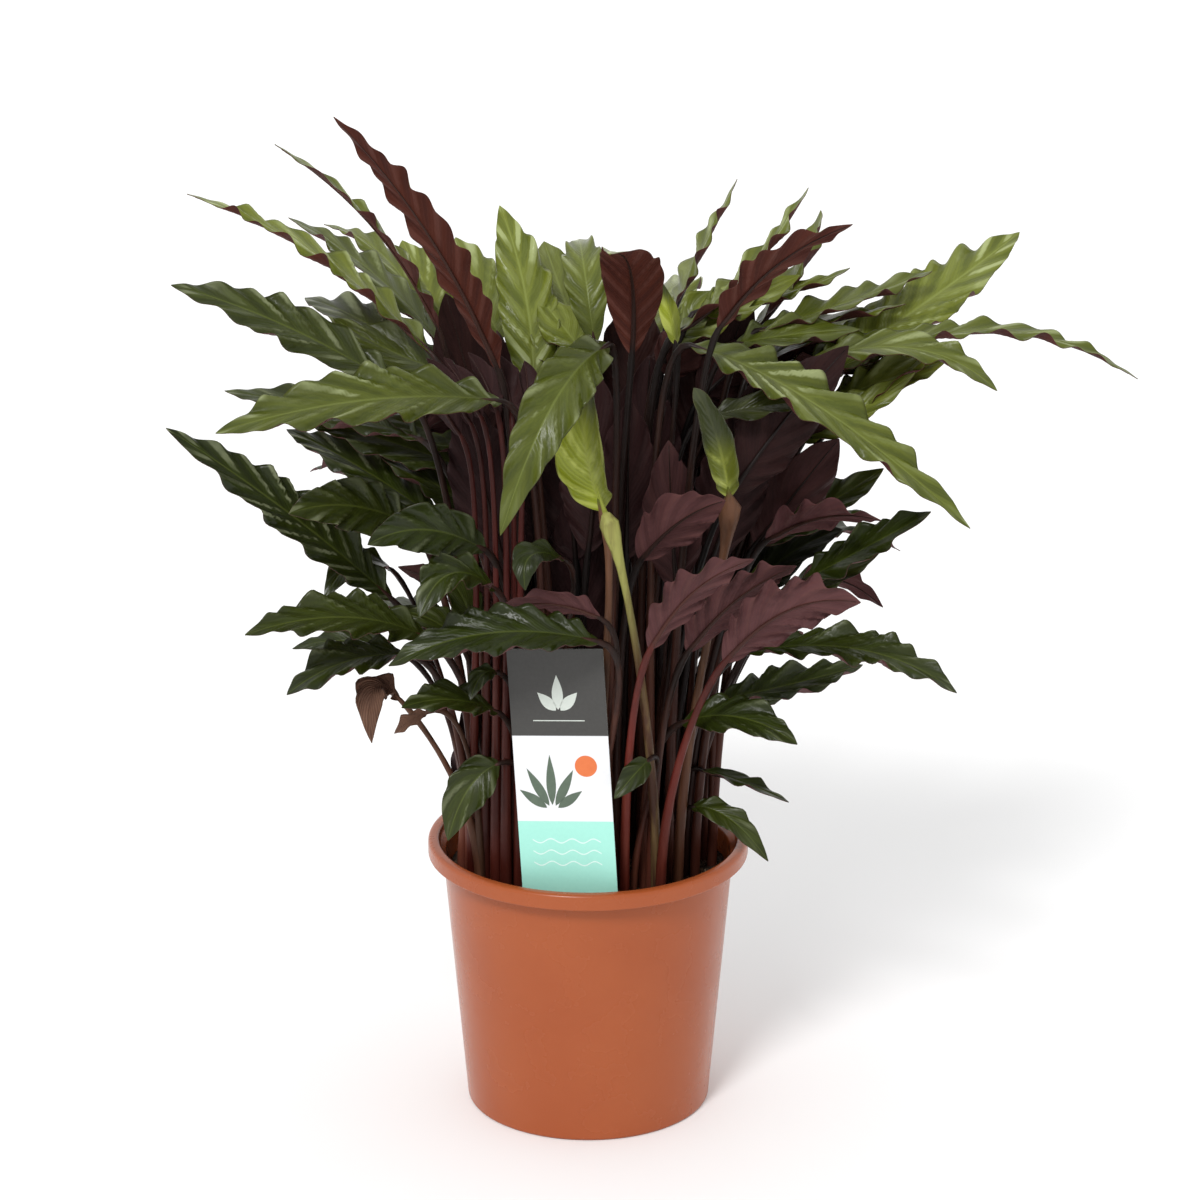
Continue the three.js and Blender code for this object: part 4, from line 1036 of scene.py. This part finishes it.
def stalk(body, leaf, root, draw):
    """The round stalk from the soil to the blade, which runs on under the blade as its midrib."""
    foot_radius = leaf.make["foot"] * (SHARED_SHARE if leaf.host else 1)
    neck = leaf.make["neck"]
    base, pull, _ = leaf.ends(leaf.bend)
    soil_point = np.array([root[0], root[1], SOIL_TOP + (SHARED_RISE if leaf.host else STALK_RISE)])
    start = unit(pull - base)
    rise = np.linalg.norm(base - soil_point)
    lower = soil_point + np.array([0, 0, rise * STRAIGHT_SHARE])
    upper = base - start * min(NECK_BEND, rise * NECK_SHARE)
    t = np.linspace(0, 1, STALK_ROWS) ** STALK_CROWDING
    centre, along = cubic(soil_point, lower, upper, base, t)
    on_right = smooth_step(root[0], *LEFT_TO_RIGHT)
    at_back = smooth_step(root[1], *FRONT_TO_BACK)
    sheath = blend(FOOT_SHEATH, on_right)
    radius = blend((foot_radius, neck), t) + sheath * np.exp(-(t / FOOT_SHEATH_SHARE) ** 2)
    radius = radius + KNEE * np.exp(-(((1 - t) * rise - KNEE_PLACE) / KNEE_LENGTH) ** 2)
    if leaf.kind == "young":
        reach = np.where(t < SHEATH_PLACE, SHEATH_BELOW, SHEATH_ABOVE)
        radius = radius + YOUNG_SHEATH[leaf.name] * np.exp(-((t - SHEATH_PLACE) / reach) ** 2)

    v = np.linspace(*RIB_ENDS, RIB_ROWS)
    blade_centre, blade_along, blade_face, _ = leaf.frame(v, leaf.bend)
    rib = blend((RIB_TIP, neck * RIB_START), (1 - v) ** RIB_TAPER)
    sink = (RIB_SINK[0] + RIB_SINK[1] * rib) * smooth_step(v / RIB_SINK_SHARE)
    blade_centre = blade_centre - blade_face * sink[:, None]

    foot = soil_point - np.array([0, 0, SHARED_DEPTH if leaf.host else FOOT_DEPTH])
    centre = np.concatenate([foot[None, :], centre, blade_centre])
    along = np.concatenate([[[0, 0, 1]], along, blade_along])
    radius = np.concatenate([[foot_radius + sheath], radius, rib])
    faces = np.concatenate([carried(blade_face[0], along[:STALK_ROWS + 1]), blade_face])
    sides = np.cross(along, faces)
    angle = full_turn(STALK_SIDES)
    flat = 1 - FLATTEST * draw[3]
    way = (-np.cos(angle)[None, :, None] * sides[:, None, :]
           + np.sin(angle)[None, :, None] * faces[:, None, :] * flat)
    rings = centre[:, None, :] + way * radius[:, None, None]

    run = np.concatenate([[0], t, 1 + v])[:, None]
    shade = leaf.shade * blend(STALK_SHADES, draw[0]) * DULL_STALKS.get(leaf.name, 1.0)
    # Painted shade on the stalks that stand on the right, further back in the clump
    shade = shade * (1 - (1 - BACK_SHADE) * on_right * at_back)
    values = spread(rings.shape[:2], run * rise / HALF_WAVE, angle, run, leaf.tone, shade, 0)
    body.tube(rings, STALK, values)


def tone_of(leaf):
    if leaf.name in TONES:
        return TONES[leaf.name]
    tone = smooth_step(leaf.middle[2], DARK_BELOW, LIGHT_ABOVE)
    return float(np.clip(tone + random.uniform(-TONE_SLIP, TONE_SLIP), 0, 1))


def corners_and_root(mesh):
    """A CAD solid's corners in a tree that finds the nearest one, and the middle of its foot."""
    corners = np.empty(len(mesh.vertices) * 3, np.float32)
    mesh.vertices.foreach_get("co", corners)
    corners = corners.reshape(-1, 3).astype(float) / MM
    tree = kdtree.KDTree(len(corners))
    for index, corner in enumerate(corners):
        tree.insert(corner, index)
    tree.balance()
    foot = corners[corners[:, 2] < corners[:, 2].min() + 1]
    return tree, np.unique(foot.round(2), axis=0).mean(axis=0)


def build_leaves():
    green = [leaf_top_material(), leaf_under_material()]
    young = young_material()
    dried = dried_material()
    stalks = {kind: stalk_material(*look) for kind, look in STALK_COLOURS.items()}
    looks = {"green": green, "young": [young, young], "brown": [dried, dried]}
    leaves = [Leaf(*row) for row in LEAVES]
    for leaf in leaves:
        # Leaves deep in the clump get painted shade
        leaf.paint(tone_of(leaf), INNER_SHADE if "inner" in leaf.name else 1.0)
    for host in [leaf for leaf in leaves if not leaf.host]:
        node = f"leaf_{host.name}"
        tree, root = corners_and_root(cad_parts[node].data)
        body = Body()
        group = [host] + [leaf for leaf in leaves if leaf.host == host.name]
        kinds = {leaf.kind for leaf in group}
        materials = []
        first_slot = {}
        for kind in sorted(kinds):
            first_slot[kind] = len(materials)
            stalk_kind = STALK_KINDS.get(host.name, kind)
            materials += [*looks[kind], stalks[stalk_kind]]
        for leaf in group:
            leaf.find_bend(tree)
            draw = random.uniform(0, 1, 4)
            began = len(body.slots)
            blade(body, leaf, draw)
            stalk(body, leaf, root, draw)
            shift = first_slot[leaf.kind]
            body.slots[began:] = [slot + shift for slot in body.slots[began:]]
        settle(body.piece(f"fine_{host.name}", materials), node)
    build_young_sheath(stalks["sheath"])
    return green, stalks


def build_extra_leaves(green, stalks):
    for group, rows in EXTRA_LEAVES.items():
        body = Body()
        for number, (root, base, middle, tip, width, face, tone, shade) in enumerate(rows):
            leaf = Leaf(f"{group}_{number}", base, middle, tip, width, face)
            leaf.paint(tone, shade)
            leaf.row_step = HIDDEN_STEP if shade < 1 else ROW_STEP
            draw = random.uniform(0, 1, 4)
            blade(body, leaf, draw)
            stalk(body, leaf, root, draw)
        materials = [*green, stalks[STALK_KINDS.get(group, "green")]]
        made = body.piece(f"extra_{group}", materials)
        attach(made, "root")


def build_young_sheath(material):
    """The thick pale sheath that leads from the young middle leaf down to the right."""
    body = Body()
    leaf = Leaf("young_sheath", *YOUNG_SHEATH_LEAF, FRONT, "", "young")
    leaf.paint(1.0, 1.0)
    stalk(body, leaf, YOUNG_SHEATH_ROOT, np.full(4, 1.0))
    body.slots = [0] * len(body.slots)
    made = body.piece("young_sheath", [material])
    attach(made, "root")


# Pot

def rounded(profile):
    """The profile of (r, z, radius) rows with its corners rounded, apart from those on the axis."""
    points = [np.array(row[:2], float) for row in profile]
    result = [points[0]]
    for before, corner, after, row in zip(points, points[1:], points[2:], profile[1:]):
        radius = row[2]
        back, ahead = unit(before - corner), unit(after - corner)
        room = min(np.linalg.norm(before - corner), np.linalg.norm(after - corner)) * 0.48
        cut = min(radius, room)
        first, last = corner + back * cut, corner + ahead * cut
        for step in np.linspace(0, 1, CORNER_STEPS + 1):
            result.append((1 - step) ** 2 * first + 2 * (1 - step) * step * corner + step ** 2 * last)
    result.append(points[-1])
    return result


def build_pot():
    profile = [
        (0, 0, 0),
        (FOOT_RADIUS, 0, 2),
        (SHOULDER_RADIUS, SHOULDER_HEIGHT, 3),
        (91, 162.6, 1),
        (92.6, RIM_BOTTOM, 1),
        (RIM_RADIUS, RIM_BOTTOM, 2),
        (RIM_RADIUS, RIM_TOP, 3.6),
        (88.8, RIM_TOP, 2),
        (88, 162.5, 1),
        (WALL_HEAD_RADIUS, WALL_HEAD_HEIGHT, 1),
        (WALL_FOOT_RADIUS, FLOOR_TOP, 1),
        (0, FLOOR_TOP, 0),
    ]
    angle = full_turn(POT_SEGMENTS)
    rings = np.array([ring(*corner, angle) for corner in rounded(profile)[1:-1]])
    body = Body()
    body.tube(rings)
    pot = body.piece("pot_shell", [pot_material()])

    drills = Body()
    angle = full_turn(DRAIN_SIDES)
    for middle in ring(DRAIN_RING_RADIUS, 0, full_turn(DRAIN_COUNT) + math.pi / DRAIN_COUNT):
        drills.prism(*(middle + ring(DRAIN_RADIUS, height, angle) for height in DRILL))
    drill = drills.piece("drill", [], smooth=False)
    cut = pot.modifiers.new("drain_holes", "BOOLEAN")
    cut.operation = "DIFFERENCE"
    cut.solver = "EXACT"
    cut.object = drill
    bpy.context.view_layer.update()
    made = bpy.data.meshes.new_from_object(pot.evaluated_get(bpy.context.evaluated_depsgraph_get()))
    pot.modifiers.clear()
    pot.data = made
    bpy.data.objects.remove(drill)
    pot.modifiers.new("even_shading", "WEIGHTED_NORMAL")
    settle(pot, "pot")


# Soil

def wall_radius(height):
    slope = (WALL_HEAD_RADIUS - WALL_FOOT_RADIUS) / (WALL_HEAD_HEIGHT - FLOOR_TOP)
    return WALL_FOOT_RADIUS + slope * (height - FLOOR_TOP)


def soil_height(x, y):
    waves = (np.sin(a * x + b * y + c) / (1 + i * 0.6) for i, (a, b, c) in enumerate(SOIL_WAVES))
    return SOIL_TOP - 0.4 + SOIL_LUMPS * sum(waves) / 2.4


def build_soil():
    body = Body()
    edge = wall_radius(SOIL_TOP) - SOIL_EDGE_GAP
    angle = full_turn(SOIL_SEGMENTS)
    floor = FLOOR_TOP + SOIL_GAP
    low = [(2, floor), (wall_radius(floor) - SOIL_GAP, floor), (edge, SOIL_TOP - 4)]
    rows = [ring(radius, height, angle) for radius, height in low]
    for radius in np.linspace(edge, 1.5, SOIL_RINGS):
        row = ring(radius, 0, angle)
        row[:, 2] = soil_height(row[:, 0], row[:, 1]) + random.normal(0, SOIL_GRAIN, SOIL_SEGMENTS)
        rows.append(row)
    body.tube(np.array(rows))

    for slot, count, smallest, largest in CRUMBS:
        for _ in range(count):
            radius = (edge - 3) * math.sqrt(random.uniform())
            turn = random.uniform(0, 2 * math.pi)
            x, y = radius * math.cos(turn), radius * math.sin(turn)
            size = random.uniform(smallest, largest) * np.array([1, random.uniform(0.6, 1.4), 0.75])
            crumb(body, np.array([x, y, soil_height(x, y) + 0.3]), size, slot)
    dark = soil_material("soil_bed", (34, 26, 20), (62, 48, 38), 260)
    crumbs = soil_material("soil_crumbs", (40, 30, 23), (84, 64, 48), 320)
    chips = soil_material("soil_chips", (112, 92, 70), (168, 152, 128), 320)
    settle(body.piece("soil_bed", [dark, crumbs, chips]), "soil")


def crumb(body, middle, size, slot):
    """An uneven lump: four rings with a flat cap at each end."""
    angle = full_turn(CRUMB_SIDES) + random.uniform(0, 1)
    rows = []
    for level, reach in CRUMB_RINGS:
        swell = reach * random.uniform(0.75, 1.2, CRUMB_SIDES)
        rows.append(ring(swell, level, angle) * [-1, 1, 1])
    body.tube(middle + np.array(rows) * size, slot)


# Tag

def on_card(points):
    """Card places (across, up from the foot, out of the front) put where the tag leans."""
    across, up, out = np.moveaxis(np.asarray(points, float), -1, 0)
    aside = across * math.cos(TAG_LEAN) - up * math.sin(TAG_LEAN)
    x = aside * math.cos(TAG_TURN) + out * math.sin(TAG_TURN) + TAG_FOOT_X
    y = aside * math.sin(TAG_TURN) - out * math.cos(TAG_TURN) + TAG_FOOT_Y
    z = across * math.sin(TAG_LEAN) + up * math.cos(TAG_LEAN) + TAG_FOOT
    return np.stack([x, y, z], axis=-1)


def flat_figure(body, outline_points, slot, low, high):
    """A thin closed figure on the card, its outline listed left about as seen from the front."""
    flat = np.asarray(outline_points, float)
    count = len(flat)
    bottom = np.column_stack([flat, np.full(count, low)])
    top = np.column_stack([flat, np.full(count, high)])
    values = np.zeros((2 * count, VALUES))
    values[:, 0] = np.tile(flat[:, 1], 2)
    values[count:, 1] = 1
    body.prism(on_card(bottom), on_card(top), slot, values)


def leaf_figure(x, y, start, length, width, lean):
    """A pointed oval leaning lean radians to the left of upright, at a distance from (x, y)."""
    t = np.linspace(0, 1, FIGURE_STEPS + 1)
    bulge = width / 2 * np.sin(np.pi * t ** 0.8)
    right = np.column_stack([bulge, start + t * length])
    left = np.column_stack([-bulge[-2:0:-1], start + t[-2:0:-1] * length])
    points = np.concatenate([right, left])
    turn = np.array([[math.cos(lean), -math.sin(lean)], [math.sin(lean), math.cos(lean)]])
    return points @ turn.T + [x, y]


def build_tag():
    half, height = TAG_WIDTH / 2, TAG_TOP - TAG_FOOT
    corner = []
    for side, begin in ((1, 0), (-1, 90)):
        for step in range(7):
            angle = math.radians(begin + 15 * step)
            corner.append((side * (half - TAG_CORNER) + TAG_CORNER * math.cos(angle),
                           height - TAG_CORNER + TAG_CORNER * math.sin(angle)))
    body = Body()
    thick = TAG_THICKNESS / 2
    flat_figure(body, [(-half, 0), (half, 0), *corner], 0, -thick, thick)

    def ink(points, slot):
        flat_figure(body, points, slot, thick - INK_DEPTH, thick + INK_HEIGHT)

    for lean, length in ((0.75, 15), (0.0, 21), (-0.75, 15)):
        ink(leaf_figure(0, PANEL_TOP + 14, 2, length, 6.5, lean), 1)
    bar = PANEL_TOP + 9
    ink([(-15, bar), (15, bar), (15, bar + 0.6), (-15, bar + 0.6)], 1)
    turn = np.linspace(0, 2 * np.pi, 40, endpoint=False)
    ink(np.column_stack([14 + 6.5 * np.cos(turn), MINT_TOP + 34 + 6.5 * np.sin(turn)]), 2)
    for lean, length in ((0.95, 19), (0.48, 26), (0.0, 31), (-0.48, 25), (-0.95, 18)):
        ink(leaf_figure(-7, MINT_TOP + 6, 4, length, 5.6, lean), 3)
    for height in (58, 65, 72):
        t = np.linspace(-20, 20, 60)
        wave = height + 1.3 * np.sin(t * 0.5)
        ink(np.concatenate([np.column_stack([t, wave]), np.column_stack([t, wave + 0.7])[::-1]]), 4)
    materials = [
        card_material(),
        ink_material("ink_pale", (196, 204, 196), (212, 218, 210)),
        ink_material("ink_orange", (214, 106, 52), (226, 122, 66)),
        ink_material("ink_green", (72, 88, 74), (96, 112, 94)),
        ink_material("ink_white", (214, 240, 232), (224, 246, 240)),
    ]
    settle(body.piece("tag_card", materials, smooth=False), "tag")


# Studio

def build_floor():
    mesh = bpy.data.meshes.new("studio_floor")
    corners = [(x * FLOOR_REACH, y * FLOOR_REACH, 0) for x, y in ((-1, -1), (1, -1), (1, 1), (-1, 1))]
    mesh.from_pydata(corners, [], [(0, 1, 2, 3)])
    mesh.materials.append(floor_material())
    floor = linked("studio_floor", mesh)


def build_lights():
    """A white room, brighter behind the plant, and a soft key light from the front left."""
    world = bpy.data.worlds.new("studio")
    bpy.context.scene.world = world
    world.use_nodes = True
    nodes = world.node_tree.nodes
    links = world.node_tree.links
    way = nodes.new("ShaderNodeTexCoord")
    split = nodes.new("ShaderNodeSeparateXYZ")
    ramp = nodes.new("ShaderNodeMapRange")
    ramp.interpolation_type = "SMOOTHSTEP"
    for number, value in enumerate((*WORLD_CHANGE, WORLD_FRONT, WORLD_BACK), start=1):
        ramp.inputs[number].default_value = value
    links.new(way.outputs["Generated"], split.inputs[0])
    links.new(split.outputs[1], ramp.inputs[0])
    links.new(ramp.outputs[0], nodes["Background"].inputs["Strength"])
    nodes["Background"].inputs["Color"].default_value = (1.0, 1.0, 1.0, 1)
    data = bpy.data.lights.new("key", "SUN")
    data.energy = KEY_POWER
    data.angle = KEY_WIDTH
    key = linked("key", data)
    key.location = KEY_PLACE
    key.rotation_euler = (-Vector(KEY_PLACE)).to_track_quat("-Z", "Y").to_euler()


def build_camera():
    data = bpy.data.cameras.new("camera")
    data.sensor_width = SENSOR
    data.lens = CAMERA_LENS
    data.clip_end = 60
    camera = linked("camera", data)
    camera.location = [value * MM for value in CAMERA_PLACE]
    camera.rotation_euler = (math.pi / 2 - CAMERA_PITCH, 0, CAMERA_YAW)
    bpy.context.scene.camera = camera


build_camera()
build_lights()
build_floor()
green_looks, stalk_looks = build_leaves()
build_extra_leaves(green_looks, stalk_looks)
build_pot()
build_soil()
build_tag()
bpy.context.scene.view_settings.view_transform = "Standard"
